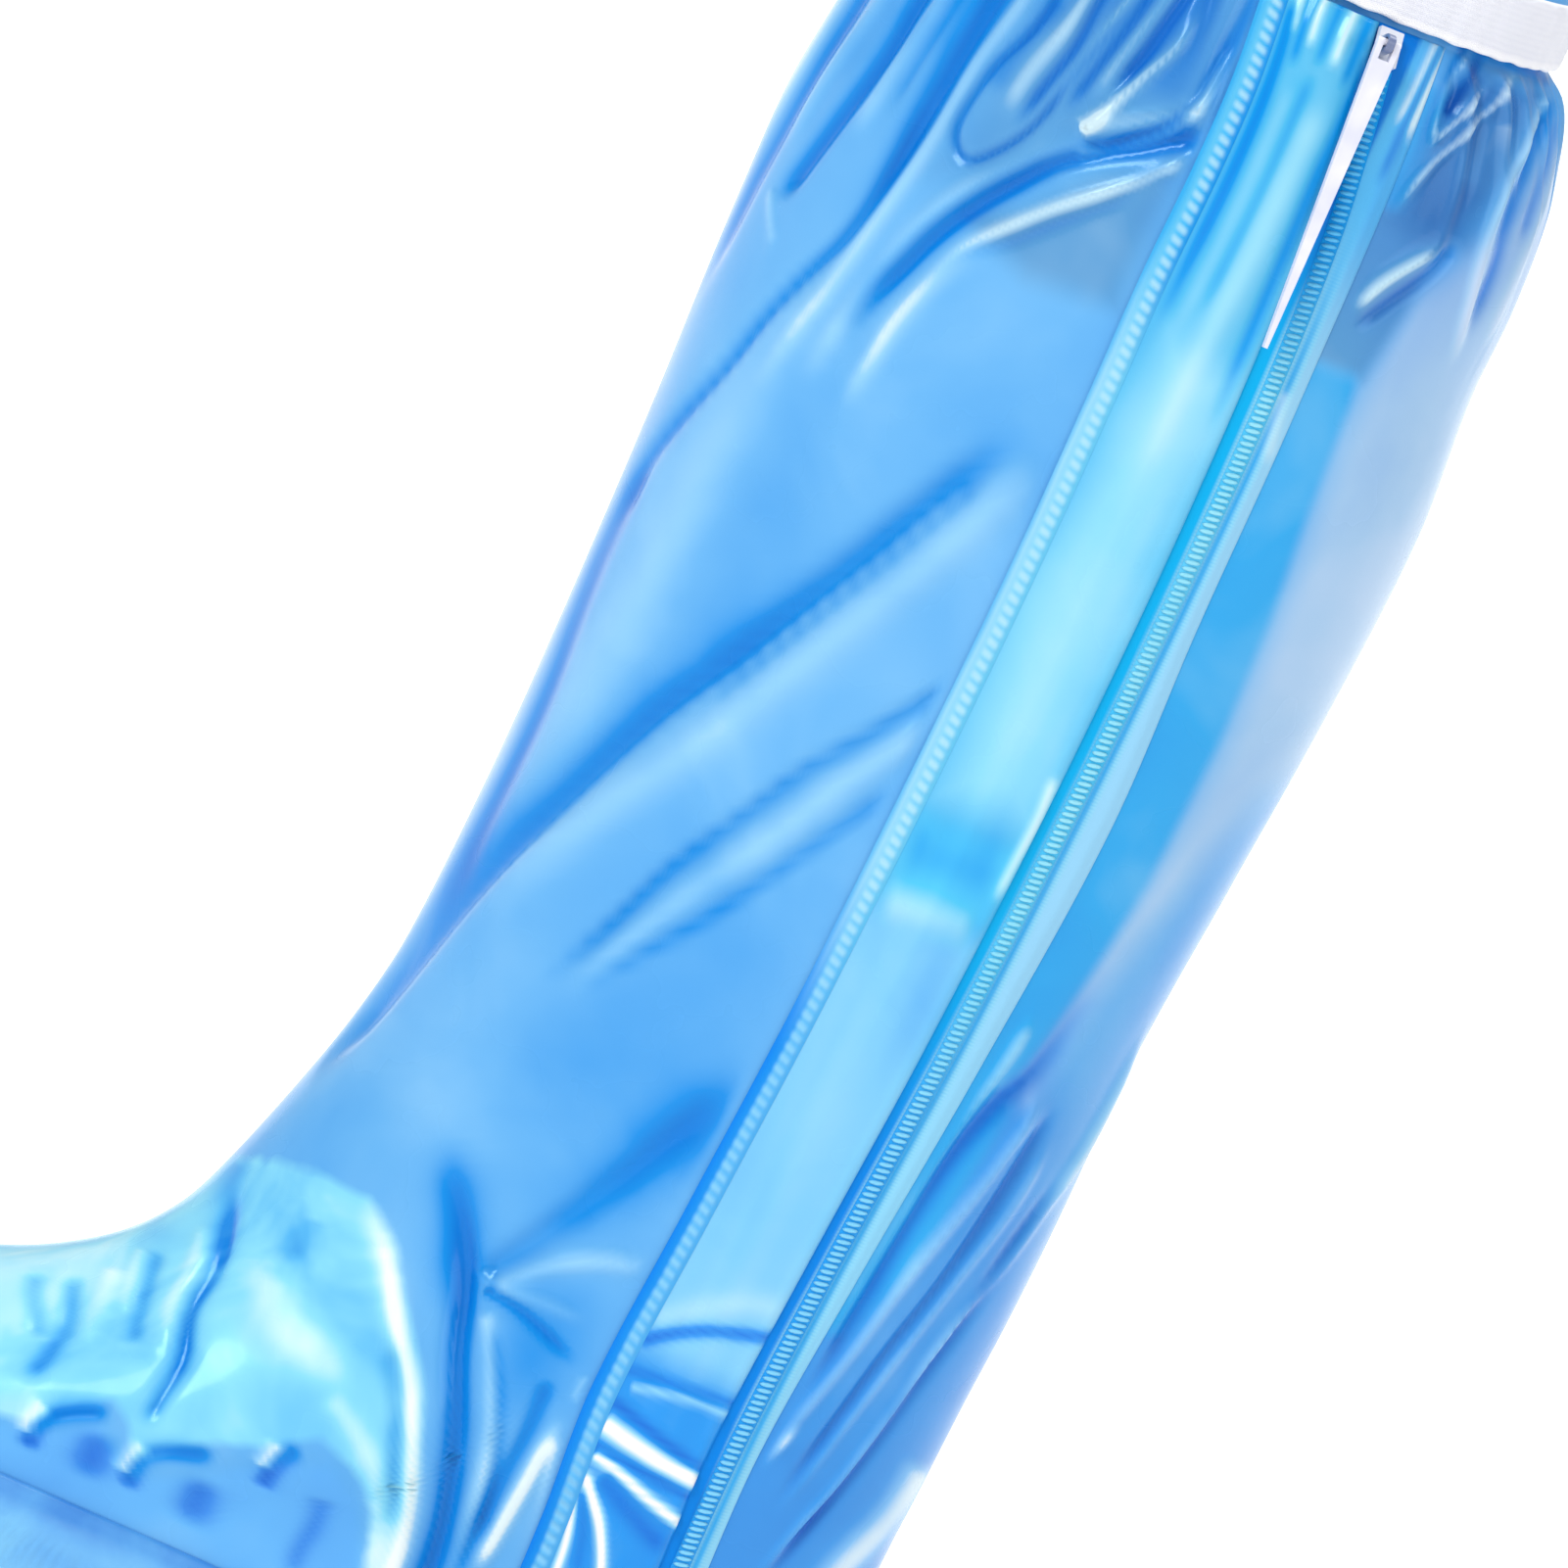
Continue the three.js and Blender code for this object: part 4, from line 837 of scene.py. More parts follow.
def tape_shades(x, height, share):
    edge = x - through(ZIP_LINES, EDGE, height)
    coil = x - through(ZIP_LINES, COIL, height)
    upper = smoothstep(height, 350, 395)
    channel_end = edge - 2.6 + upper * (x - 112 - edge + 2.6)
    _, painted_light = draw_folds(TAPE_STREAKS, x, height)
    return {
        "channel": 1 - smoothstep(channel_end, -0.6, 0.6),
        "line": np.exp(-((coil - 2.7) / 0.8) ** 2) * (1 - upper),
        "facing": smoothstep(coil, 3.6, 4.8),
        "lower": 1 - smoothstep(height, 165, 235),
        "upper": upper,
        "painted_light": painted_light,
    }


def along_zip(x, height, share):
    """How far a place of the coil is towards the zip's lower and upper end."""
    return {"lower": 1 - smoothstep(height, 165, 235), "upper": smoothstep(height, 340, 390)}


# Pitch of the coil's bars, half a bar's size across, along and out, its lean, and its sides and levels
COIL_PITCH = 1.4
COIL_BAR = (1.75, 0.52, 0.7)
COIL_LEAN = 0.16
COIL_SIDES = 8
COIL_LEVELS = 4


def coil_piece():
    """The zip's coil: a row of small rounded bars laid across it, each a stretched ball carried to its
    place in the frame of the smooth film and leant a little."""
    z = np.arange(ZIP_BOTTOM + 2, COIL_TOP - 1, COIL_PITCH)
    turns = np.linspace(0, 2 * np.pi, COIL_SIDES, endpoint=False)
    tilts = np.linspace(-np.pi / 2, np.pi / 2, COIL_LEVELS + 2)[1:-1]
    ring_across = np.cos(tilts)[:, None] * np.cos(turns)
    ring_along = np.cos(tilts)[:, None] * np.sin(turns)
    ring_out = np.broadcast_to(np.sin(tilts)[:, None], ring_across.shape)
    ball = np.stack([ring_across, ring_along, ring_out], -1).reshape(-1, 3)
    ball = np.vstack([ball, [(0, 0, -1), (0, 0, 1)]])
    step = np.arange(COIL_SIDES)
    after = (step + 1) % COIL_SIDES
    quads = grid_faces(COIL_LEVELS, COIL_SIDES, True)
    low_pole = COIL_LEVELS * COIL_SIDES
    last = low_pole - COIL_SIDES
    low_cap = np.stack([np.full(COIL_SIDES, low_pole), after, step], -1)
    high_cap = np.stack([np.full(COIL_SIDES, low_pole + 1), last + step, last + after], -1)
    x = through(ZIP_LINES, COIL, z)
    out = unit(zip_side_slope(x, z))
    along = unit(zip_side_point(x, z + 1, 0) - zip_side_point(x, z - 1, 0))
    across = np.cross(along, out)
    middle = zip_side_point(x, z, LAID_ON + TAPE_THICKNESS + 0.5)
    local = ball * COIL_BAR
    spread = local[:, 1] + COIL_LEAN * local[:, 0]
    points = (middle[:, None] + across[:, None] * local[None, :, :1] + along[:, None] * spread[None, :, None]
              + out[:, None] * local[None, :, 2:])
    shift = (np.arange(len(z)) * len(ball))[:, None, None]
    quads = (quads[None] + shift).reshape(-1, 4)
    caps = (np.concatenate([low_cap, high_cap])[None] + shift).reshape(-1, 3)
    piece = mesh_of("coil_teeth", points.reshape(-1, 3), [quads, caps])
    set_values(piece, **along_zip(points[..., 0], view_height(points), None))
    return piece


def coil_bed_piece():
    """The low ridge that the teeth are sewn on."""
    return strip_piece(
        "coil_bed", line(COIL, -COIL_WIDTH / 2), line(COIL, COIL_WIDTH / 2), ZIP_BOTTOM + 1, COIL_TOP, 8, 180,
        flat(LAID_ON + TAPE_THICKNESS - 0.02),
        lambda x, z, share: LAID_ON + TAPE_THICKNESS + 0.1 + 0.5 * np.sin(np.pi * share) ** 0.6,
        along_zip,
    )


def band_piece():
    """The elastic band: a rounded flat section carried round the film's top, with fine ribs along it
    and soft gathers across it."""
    columns = 640
    angles = np.linspace(0, 2 * np.pi, columns, endpoint=False)
    top = BAND_BOTTOM + BAND_HEIGHT
    radius = 0.9
    outer_z = np.linspace(BAND_BOTTOM + radius, top - radius, 44)
    back = GAP + 0.1
    face = GAP + BAND_THICKNESS - 0.3
    turns = np.linspace(-np.pi / 2, 0, 5)[:-1]
    corner = [(face - radius + radius * math.cos(a), radius + radius * math.sin(a)) for a in turns]
    profile = [(back, BAND_BOTTOM + 0.3)]
    profile += [(out, BAND_BOTTOM + up) for out, up in corner]
    profile += [(face, z) for z in outer_z]
    profile += [(out, top - up) for out, up in corner[::-1]]
    profile += [(back, top - 0.3), (back, top - 4), (back, BAND_BOTTOM + 4)]
    profile = np.array(profile)
    on_face = np.zeros(len(profile))
    face_start = 1 + len(corner)
    on_face[face_start:face_start + len(outer_z)] = 1
    generator = np.random.default_rng(5)
    waves = np.zeros(columns)
    for count in (38, 47, 61, 74):
        waves += generator.uniform(0.04, 0.08) * np.cos(count * angles + generator.uniform(0, 6.28))
    ribs = 0.04 * np.cos(2 * np.pi * (profile[:, 1] - BAND_BOTTOM) / BAND_RIB_PITCH)
    outward = profile[:, 0][:, None] + on_face[:, None] * (ribs[:, None] + waves[None, :])
    base = smooth_film(angles, BAND_LEVEL)
    normal = film_normal(angles, BAND_LEVEL, True)
    edge_wave = 0.18 * np.cos(52 * angles) + 0.15 * np.cos(31 * angles + 1)
    low_end = 1 - smoothstep(profile[:, 1], BAND_BOTTOM, BAND_BOTTOM + 6)
    rings = base[None] + normal[None] * outward[..., None]
    rings[..., 2] = profile[:, 1][:, None] - low_end[:, None] * edge_wave[None, :] * 0.6
    rings = np.concatenate([rings, rings[:1]])
    rows = len(profile)
    faces = grid_faces(rows + 1, columns, True) % (rows * columns)
    piece = mesh_of("elastic_band", rings[:-1], [faces])
    around = np.broadcast_to(angles[None] * BAND_LEVEL_RADIUS, (rows, columns))
    up = np.broadcast_to(profile[:, 1][:, None] - BAND_BOTTOM, (rows, columns))
    set_values(piece, around=around, up=up)
    return piece


RIB_PITCH = 2.2
RIB_SLANT = 0.55
LUG_PITCH = 18
LUG_ROOT = 2.6


def sole_piece():
    """The sole: a tray whose wall follows the film, ribbed along its side, with a plain rounded rim."""
    columns = 2000
    angles = np.linspace(0, 2 * np.pi, columns, endpoint=False)
    wall = GAP + SOLE_WALL
    base = level_ring(angles, FOOTPRINT_LEVEL, 0)
    lengths = np.linalg.norm(np.roll(base, -1, axis=0) - base, axis=1)
    arc = np.concatenate([[0], np.cumsum(lengths)[:-1]])
    total = lengths.sum()
    ribs = round(total / RIB_PITCH)
    levels = np.concatenate([[4.5, 6.5, 8.5], np.linspace(10, 38, 19), [40, 42, 44, 45.5, 46.6]])
    rows = [level_ring(angles, FOOTPRINT_LEVEL, out, LUG_HEIGHT + up)
            for out, up in ((-5, 0), (-1, 0), (1.2, 0.8))]
    for z in levels:
        band = smoothstep(z, 8, 11) * (1 - smoothstep(z, 37, 41))
        bead = 0.5 * math.exp(-((z - 44) / 1.6) ** 2)
        slant = (z - 10) * RIB_SLANT
        rib = 0.3 * band * np.cos(2 * np.pi * ribs * (arc + slant) / total)
        level = max(z, FOOTPRINT_LEVEL)
        rows.append(level_ring(angles, level, (wall - 0.3 + bead + rib)[:, None], z))
    rows += [level_ring(angles, SOLE_TOP - 0.5, wall - 0.6), level_ring(angles, SOLE_TOP, wall - 1.5)]
    rows += [level_ring(angles, z, LAID_ON) for z in (SOLE_TOP, 46, 43, 35, 26, 16)]
    rows.append(level_ring(angles, FOOTPRINT_LEVEL, LAID_ON, LUG_HEIGHT + SOLE_FLOOR))
    rings = np.stack(rows)
    piece = closed_skin("sole_tray", rings, smooth_angle=50)
    side = smoothstep(rings[..., 2], 4, 8) * (1 - smoothstep(rings[..., 2], 40, 46))
    set_values(piece, side=pad_ends(side))
    return piece


def lug_piece():
    """The tread: a row of cross lugs, each a bar with sloping rounded flanks, clipped to the footprint."""
    middle, reach, half, power, foot = section(np.array(float(FOOTPRINT_LEVEL)))
    count = int(reach // LUG_PITCH)
    lugs = []
    flank = [(4.5, LUG_ROOT), (4.3, 1.0), (3.9, 0.3), (3.2, 0)]
    profile = np.array([(-out, up) for out, up in flank] + flank[::-1])
    share = np.linspace(-1, 1, 13)
    for i in range(-count, count + 1):
        x = i * LUG_PITCH + profile[:, 0]
        width, shift = foot_shape(x, middle, reach, foot)
        t = np.clip(np.abs(x - middle) / reach, 0, 1)
        reach_y = half * width * (1 - t ** power) ** (1 / power) - 9.5
        reach_y = np.full(reach_y.shape, max(reach_y.min(), 6.0))
        y = shift.mean() + reach_y[None, :] * share[:, None]
        rounding = smoothstep(np.abs(share), 0.9, 1.0)[:, None] * 0.6
        z = np.minimum(np.broadcast_to(profile[:, 1], y.shape) + rounding, LUG_ROOT)
        lugs.append(np.stack([np.broadcast_to(x, y.shape), y, z], -1))
    rows, columns = lugs[0].shape[:2]
    size = rows * columns
    shift = (np.arange(len(lugs)) * size)[:, None, None]
    grid = grid_faces(rows, columns, True)[:, ::-1]
    ends = np.array([np.arange(columns), size - 1 - np.arange(columns)])[:, ::-1]
    faces = (grid[None] + shift).reshape(-1, 4)
    caps = (ends[None] + shift).reshape(-1, columns)
    return mesh_of("tread_lugs", np.concatenate(lugs).reshape(-1, 3), [faces, caps], smooth_angle=40)


BEVEL_STEPS = 3


def rounded_copy(node, name, width):
    """A copy of a rigid CAD node, merged and with its edges rounded by a Bevel."""
    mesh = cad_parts[node].data.copy()
    mesh.name = name
    piece = bpy.data.objects.new(name, mesh)
    bpy.context.scene.collection.objects.link(piece)
    work = bmesh.new()
    work.from_mesh(mesh)
    bmesh.ops.remove_doubles(work, verts=work.verts, dist=1e-6)
    bmesh.ops.dissolve_limit(work, angle_limit=math.radians(4), verts=work.verts, edges=work.edges)
    work.to_mesh(mesh)
    work.free()
    mesh.materials.clear()
    bevel = piece.modifiers.new("rounding", "BEVEL")
    bevel.width = width * MM
    bevel.segments = BEVEL_STEPS
    bevel.limit_method = "ANGLE"
    bevel.angle_limit = math.radians(35)
    mesh.shade_smooth()
    mesh.set_sharp_from_angle(angle=math.radians(45))
    return piece


HINGE = (0.1062, -0.050271, 0.4334)
BRIDGE_REACH = 2.7


def slider_piece():
    """The slider, with a mark on the part of it within reach of the hinge: its bridge."""
    piece = rounded_copy("zip_slider", "slider_body", 0.35)
    points = np.empty(3 * len(piece.data.vertices))
    piece.data.vertices.foreach_get("co", points)
    distance = np.linalg.norm(points.reshape(-1, 3) - HINGE, axis=1)
    # The mark on the bridge carries painted shade for the hole there.
    set_values(piece, bridge=distance < BRIDGE_REACH * MM)
    return piece


# Level of the studio light on the glossy film and on the matt parts, and the gloss that lies over them in
# red, green and blue
FILM_LIGHT = 1.26
FILM_VEIL = (0.005, 0.03, 0.05)
MATT_LIGHT = 1.12
MATT_VEIL = (0.03, 0.03, 0.03)


def colour(red, green, blue, light=FILM_LIGHT, veil=FILM_VEIL):
    """Surface colour that shows as the given screen values, 0 to 255, under this studio light: each is made
    linear, and the gloss that lies over it and the light's level are taken off."""
    def surface(value, gloss):
        share = value / 255
        linear = share / 12.92 if share <= 0.04045 else ((share + 0.055) / 1.055) ** 2.4
        return max(linear - gloss, 0.0) / light
    return (surface(red, veil[0]), surface(green, veil[1]), surface(blue, veil[2]), 1)


def matt(red, green, blue):
    return colour(red, green, blue, MATT_LIGHT, MATT_VEIL)


def add_node(tree, kind, inputs=None, **settings):
    """A node with its settings, and its inputs either set to a value or linked from a socket."""
    node = tree.nodes.new(kind)
    for name, value in settings.items():
        setattr(node, name, value)
    for name, value in (inputs or {}).items():
        if isinstance(value, bpy.types.NodeSocket):
            tree.links.new(value, node.inputs[name])
        else:
            node.inputs[name].default_value = value
    return node


def mix(tree, factor, first, second):
    """Colour between two others."""
    return add_node(tree, "ShaderNodeMix", {0: factor, 6: first, 7: second}, data_type="RGBA").outputs[2]


def ramp(tree, value, *stops, paint=colour):
    """Colour read from a ramp whose stops are a position and the screen values of a colour."""
    node = add_node(tree, "ShaderNodeValToRGB", {0: value})
    elements = node.color_ramp.elements
    while len(elements) < len(stops):
        elements.new(0.5)
    for element, (position, *screen) in zip(elements, stops):
        element.position = position
        element.color = paint(*screen)
    return node.outputs[0]


def stored(tree, name):
    """A number kept on the mesh under a name."""
    return add_node(tree, "ShaderNodeAttribute", attribute_name=name).outputs["Fac"]


def layered(tree, base, **zones):
    """Colour with one more laid over it in each zone kept on the mesh."""
    for name, tint in zones.items():
        base = mix(tree, stored(tree, name), base, tint)
    return base


def math_node(tree, operation, *values):
    return add_node(tree, "ShaderNodeMath", dict(enumerate(values)), operation=operation).outputs[0]


def remap(tree, value, low, high, to_low, to_high):
    node = add_node(tree, "ShaderNodeMapRange", {
        "Value": value, "From Min": low, "From Max": high, "To Min": to_low, "To Max": to_high})
    return node.outputs[0]


PAINTED_LIGHT_RANGE = 1.4


def painted_light_share(tree):
    """Stored painted light and shade as a share, which is a half where the surface is plain."""
    return remap(tree, stored(tree, "painted_light"), -PAINTED_LIGHT_RANGE, PAINTED_LIGHT_RANGE, 0, 1)


def swing(tree, value, low, high):
    """A noise's usual range spread from low to high."""
    return remap(tree, value, 0.3, 0.7, low, high)


def object_coordinates(tree):
    return add_node(tree, "ShaderNodeTexCoord").outputs["Object"]


def noise(tree, scale, detail=2.0, distortion=0.0, vector=None):
    inputs = {"Scale": scale, "Detail": detail, "Distortion": distortion,
              "Vector": vector or object_coordinates(tree)}
    return add_node(tree, "ShaderNodeTexNoise", inputs).outputs["Fac"]


def new_group(name, inputs, outputs):
    """Shader node group with named inputs and outputs, and the nodes that hold them."""
    tree = bpy.data.node_groups.new(name, "ShaderNodeTree")
    for socket, (kind, value) in inputs.items():
        made = tree.interface.new_socket(socket, in_out="INPUT", socket_type=kind)
        made.default_value = value
    for socket, kind in outputs.items():
        tree.interface.new_socket(socket, in_out="OUTPUT", socket_type=kind)
    return tree, tree.nodes.new("NodeGroupInput"), tree.nodes.new("NodeGroupOutput")


def film_skin_group():
    """Skin of calendered film: a fine orange-peel and slow waves as a height, and a mottling."""
    results = {"Height": "NodeSocketFloat", "Mottle": "NodeSocketFloat"}
    tree, given, made = new_group("film_skin", {"Waves": ("NodeSocketFloat", 1.0)}, results)
    peel = noise(tree, 900, 1.0)
    slow = noise(tree, 75, 2.0, 0.3)
    wide = noise(tree, 22, 3.0, 0.4)
    waves = math_node(tree, "MULTIPLY", slow, given.outputs["Waves"])
    height = math_node(tree, "ADD", math_node(tree, "MULTIPLY", peel, 0.05), waves)
    tree.links.new(height, made.inputs["Height"])
    tree.links.new(wide, made.inputs["Mottle"])
    return tree


FILM_SKIN = film_skin_group()


def use_group(tree, group, **values):
    node = tree.nodes.new("ShaderNodeGroup")
    node.node_tree = group
    for name, value in values.items():
        node.inputs[name].default_value = value
    return node


def finish_material(name, base, roughness, bump=None, strength=0.1, distance=0.0005, constants=()):
    """Principled material on a tree that base fills: base gets the tree and returns the colour's socket."""
    material = bpy.data.materials.new(name)
    material.use_nodes = True
    tree = material.node_tree
    shader = tree.nodes["Principled BSDF"]
    for key, value in constants:
        shader.inputs[key].default_value = value
    tree.links.new(base(tree), shader.inputs["Base Color"])
    if callable(roughness):
        tree.links.new(roughness(tree), shader.inputs["Roughness"])
    else:
        shader.inputs["Roughness"].default_value = roughness
    if bump is not None:
        inputs = {"Strength": strength, "Distance": distance, "Height": bump(tree)}
        tree.links.new(add_node(tree, "ShaderNodeBump", inputs).outputs[0], shader.inputs["Normal"])
    return material


def film_colour(tree):
    """Film: a ramp from the painted shade of the deep valleys over the plain film to the painted
    highlights of the pale ridges, and one more for each zone kept on the mesh, the painted sheen on the
    pale top of the foot last and with a ragged edge."""
    mottle = use_group(tree, FILM_SKIN).outputs["Mottle"]
    shift = swing(tree, mottle, -0.07, 0.07)
    painted_light = math_node(tree, "ADD", painted_light_share(tree), shift)
    patches = noise(tree, 34, 3.0, 0.7)
    gleam = math_node(tree, "ADD", painted_light, remap(tree, patches, 0.34, 0.66, -0.16, 0.1))
    ragged = math_node(tree, "ADD", stored(tree, "sheen"), remap(tree, patches, 0.34, 0.66, -0.24, 0.24))
    plain = ramp(tree, painted_light, (0.0, 0, 128, 221), (0.25, 24, 147, 233), (0.5, 104, 182, 242),
                 (0.68, 146, 208, 250), (0.9, 232, 250, 255))
    sheen = ramp(tree, gleam, (0.0, 20, 138, 230), (0.25, 90, 188, 246), (0.5, 140, 224, 252),
                 (0.7, 200, 246, 255), (0.9, 245, 255, 255))
    low = ramp(tree, painted_light, (0.0, 10, 104, 215), (0.3, 64, 146, 236), (0.5, 104, 186, 250),
               (0.7, 150, 215, 252), (0.9, 230, 252, 255))
    panel = ramp(tree, painted_light, (0.1, 60, 140, 230), (0.5, 164, 204, 241), (0.8, 225, 235, 255))
    doubled = ramp(tree, painted_light, (0.1, 0, 120, 222), (0.5, 48, 172, 240), (0.85, 190, 242, 255))
    dark = ramp(tree, painted_light, (0.1, 15, 80, 165), (0.5, 62, 132, 200), (0.85, 200, 230, 250))
    grey = ramp(tree, painted_light, (0.1, 30, 110, 205), (0.5, 86, 156, 212), (0.85, 200, 235, 250))
    behind = ramp(tree, painted_light, (0.1, 10, 96, 198), (0.5, 66, 158, 237), (0.7, 130, 196, 250),
                  (0.9, 225, 245, 255))
    result = layered(tree, plain, grey=grey, behind=behind, rear_panel=panel, doubled=doubled, dark_top=dark,
                     low_foot=low)
    return mix(tree, remap(tree, ragged, 0.26, 0.74, 0, 1), result, sheen)


def film_bump(tree):
    return use_group(tree, FILM_SKIN, Waves=0.5).outputs["Height"]


def flap_colour(tree):
    """Flap: pale cyan, with painted shade and highlights along its fold lines, richer beside the seam, and a
    painted glow down its middle.
    """
    mottle = use_group(tree, FILM_SKIN).outputs["Mottle"]
    upright = {"Vector": object_coordinates(tree), "Scale": (1, 1, 0.08)}
    streaks = noise(tree, 60, 2.0, 0.2, add_node(tree, "ShaderNodeMapping", upright).outputs[0])
    shift = math_node(tree, "ADD", swing(tree, mottle, -0.05, 0.05), swing(tree, streaks, -0.05, 0.05))
    painted_light = math_node(tree, "ADD", painted_light_share(tree), shift)
    plain = ramp(tree, painted_light, (0.1, 0, 126, 230), (0.34, 20, 158, 238), (0.5, 82, 190, 240),
                 (0.7, 165, 230, 250), (0.95, 255, 255, 255))
    lower = ramp(tree, painted_light, (0.1, 10, 108, 220), (0.34, 60, 158, 243), (0.5, 126, 204, 247),
                 (0.7, 180, 230, 252), (0.95, 255, 255, 255))
    ankle = ramp(tree, painted_light, (0.1, 10, 105, 215), (0.5, 42, 156, 242), (0.72, 150, 220, 252),
                 (0.95, 255, 255, 255))
    glow = ramp(tree, painted_light, (0.2, 60, 180, 243), (0.5, 140, 219, 250), (0.8, 210, 244, 253))
    rich = ramp(tree, painted_light, (0.2, 30, 160, 240), (0.5, 84, 204, 248), (0.8, 180, 240, 255))
    return layered(tree, plain, lower=lower, ankle=ankle, glow=glow, rich=rich)


def seam_colour(tree):
    """Stitched strip: pale, its raised stitches paler still by a painted highlight on their tops, with richer
    film along its left in the lower part and between the stitches in the upper part."""
    share = stored(tree, "share")
    patches = swing(tree, noise(tree, 40, 2.0), -0.05, 0.05)
    place = math_node(tree, "ADD", share, patches)
    plain = ramp(tree, place, (0.0, 100, 190, 243), (0.2, 152, 216, 247), (0.5, 130, 210, 246),
                 (0.97, 104, 202, 244))
    low = ramp(tree, place, (0.05, 16, 138, 238), (0.34, 30, 150, 240), (0.5, 100, 190, 245),
               (0.97, 80, 178, 243))
    high = ramp(tree, place, (0.05, 60, 178, 241), (0.3, 96, 196, 243), (0.6, 60, 184, 242),
                (0.97, 10, 150, 236))
    result = layered(tree, plain, lower=low, upper=high)
    # Painted highlight on the tops of the raised stitches
    stitches = mix(tree, stored(tree, "lower"), colour(196, 238, 250), colour(150, 216, 250))
    return mix(tree, math_node(tree, "MULTIPLY", stored(tree, "stitch"), 0.65), result, stitches)


def zip_shade(tree, middle, lower, upper):
    """Colour that changes along the zip, towards its lower and its upper end."""
    return layered(tree, middle, lower=lower, upper=upper)


def tape_colour(tree):
    """Zip tape: pale woven tape with a rich blue channel beside the flap, a thin blue line behind the
    coil, and a paler facing. It turns bluer where the top is gathered."""
    inputs = {"Vector": object_coordinates(tree), "Scale": 420.0, "Distortion": 1.0}
    weave = add_node(tree, "ShaderNodeTexWave", inputs, bands_direction="Z").outputs["Fac"]
    plain = mix(tree, weave, colour(136, 214, 247), colour(156, 226, 251))
    facing = zip_shade(tree, colour(152, 214, 249), colour(146, 218, 252), colour(84, 178, 240))
    result = zip_shade(tree, plain, plain, colour(88, 184, 240))
    channel = zip_shade(tree, colour(0, 180, 242), colour(8, 140, 236), colour(0, 126, 222))
    result = layered(tree, result, facing=facing, line=colour(56, 172, 240), channel=channel)
    # Painted highlights and painted shade of the streaks on the gathered top
    painted_light = painted_light_share(tree)
    light = remap(tree, painted_light, 0.5, 1.0, 0, 1)
    dark = remap(tree, painted_light, 0.5, 0.0, 0, 1)
    result = mix(tree, light, result, colour(225, 248, 252))
    return mix(tree, dark, result, colour(10, 110, 210))


def coil_colour(tree):
    """Coil bars: pale, bluer towards both ends."""
    patches = noise(tree, 30, 2.0)
    middle = ramp(tree, patches, (0.3, 130, 220, 248), (0.7, 160, 232, 250))
    return zip_shade(tree, middle, colour(132, 214, 251), colour(84, 188, 243))


def bed_colour(tree):
    """Film between the coil bars."""
    middle = ramp(tree, noise(tree, 50, 2.0), (0.3, 70, 195, 246), (0.7, 100, 206, 248))
    return zip_shade(tree, middle, colour(44, 164, 243), colour(16, 156, 236))


def band_colour(tree):
    """White elastic: a rib weave that follows the band, faintly shaded between its cords."""
    up = stored(tree, "up")
    ribs = math_node(tree, "SINE", math_node(tree, "MULTIPLY", up, 2 * math.pi / BAND_RIB_PITCH))
    patches = noise(tree, 45, 3.0)
    value = math_node(tree, "ADD", remap(tree, ribs, -1, 1, -0.05, 0.05), patches)
    plain = ramp(tree, value, (0.3, 228, 230, 241), (0.75, 240, 241, 249), paint=matt)
    return mix(tree, remap(tree, up, 2.2, 0.8, 0, 1), plain, matt(253, 252, 255))


def band_bump(tree):
    around = math_node(tree, "SINE", math_node(tree, "MULTIPLY", stored(tree, "around"), 8.0))
    up = math_node(tree, "SINE", math_node(tree, "MULTIPLY", stored(tree, "up"), 12.0))
    return math_node(tree, "MULTIPLY", around, up)


def sole_colour(tree):
    """Moulded sole: mottled at random, and a little paler from about 8 to 40 mm up than on its underside and
    along its top.
    """
    side = stored(tree, "side")
    patches = noise(tree, 60, 4.0, 0.3)
    value = math_node(tree, "ADD", math_node(tree, "MULTIPLY", side, 0.5), swing(tree, patches, 0, 0.5))
    return ramp(tree, value, (0.1, 70, 150, 230), (0.5, 96, 180, 245), (0.9, 120, 202, 251))


def grain_group():
    """Grain of a moulded, painted or woven surface, as a value."""
    scale = {"Scale": ("NodeSocketFloat", 500.0)}
    tree, given, made = new_group("grain", scale, {"Value": "NodeSocketFloat"})
    tree.links.new(noise(tree, given.outputs["Scale"], 3.0), made.inputs["Value"])
    return tree


GRAIN = grain_group()


def grain_bump(scale):
    return lambda tree: use_group(tree, GRAIN, Scale=scale).outputs["Value"]


def slider_colour(tree):
    """Slider: pale grey body with a darker bridge, painted shade for the hole at the bridge."""
    body = ramp(tree, noise(tree, 200, 3.0), (0.3, 212, 217, 230), (0.7, 230, 233, 242), paint=matt)
    return mix(tree, stored(tree, "bridge"), body, matt(112, 124, 158))


def pull_colour(tree):
    return ramp(tree, noise(tree, 120, 2.0), (0.3, 214, 216, 234), (0.7, 233, 233, 245), paint=matt)


def lug_colour(tree):
    return ramp(tree, noise(tree, 80, 4.0), (0.3, 56, 128, 214), (0.7, 84, 156, 234))


def roughness_from(low, high, scale):
    return lambda tree: swing(tree, grain_bump(scale)(tree), low, high)


BLUE_GLINT = (0.35, 0.75, 1, 1)
GLOSSY_FILM = (("Coat Weight", 0.15), ("Coat Roughness", 0.1), ("Specular IOR Level", 0.35),
               ("Specular Tint", BLUE_GLINT))

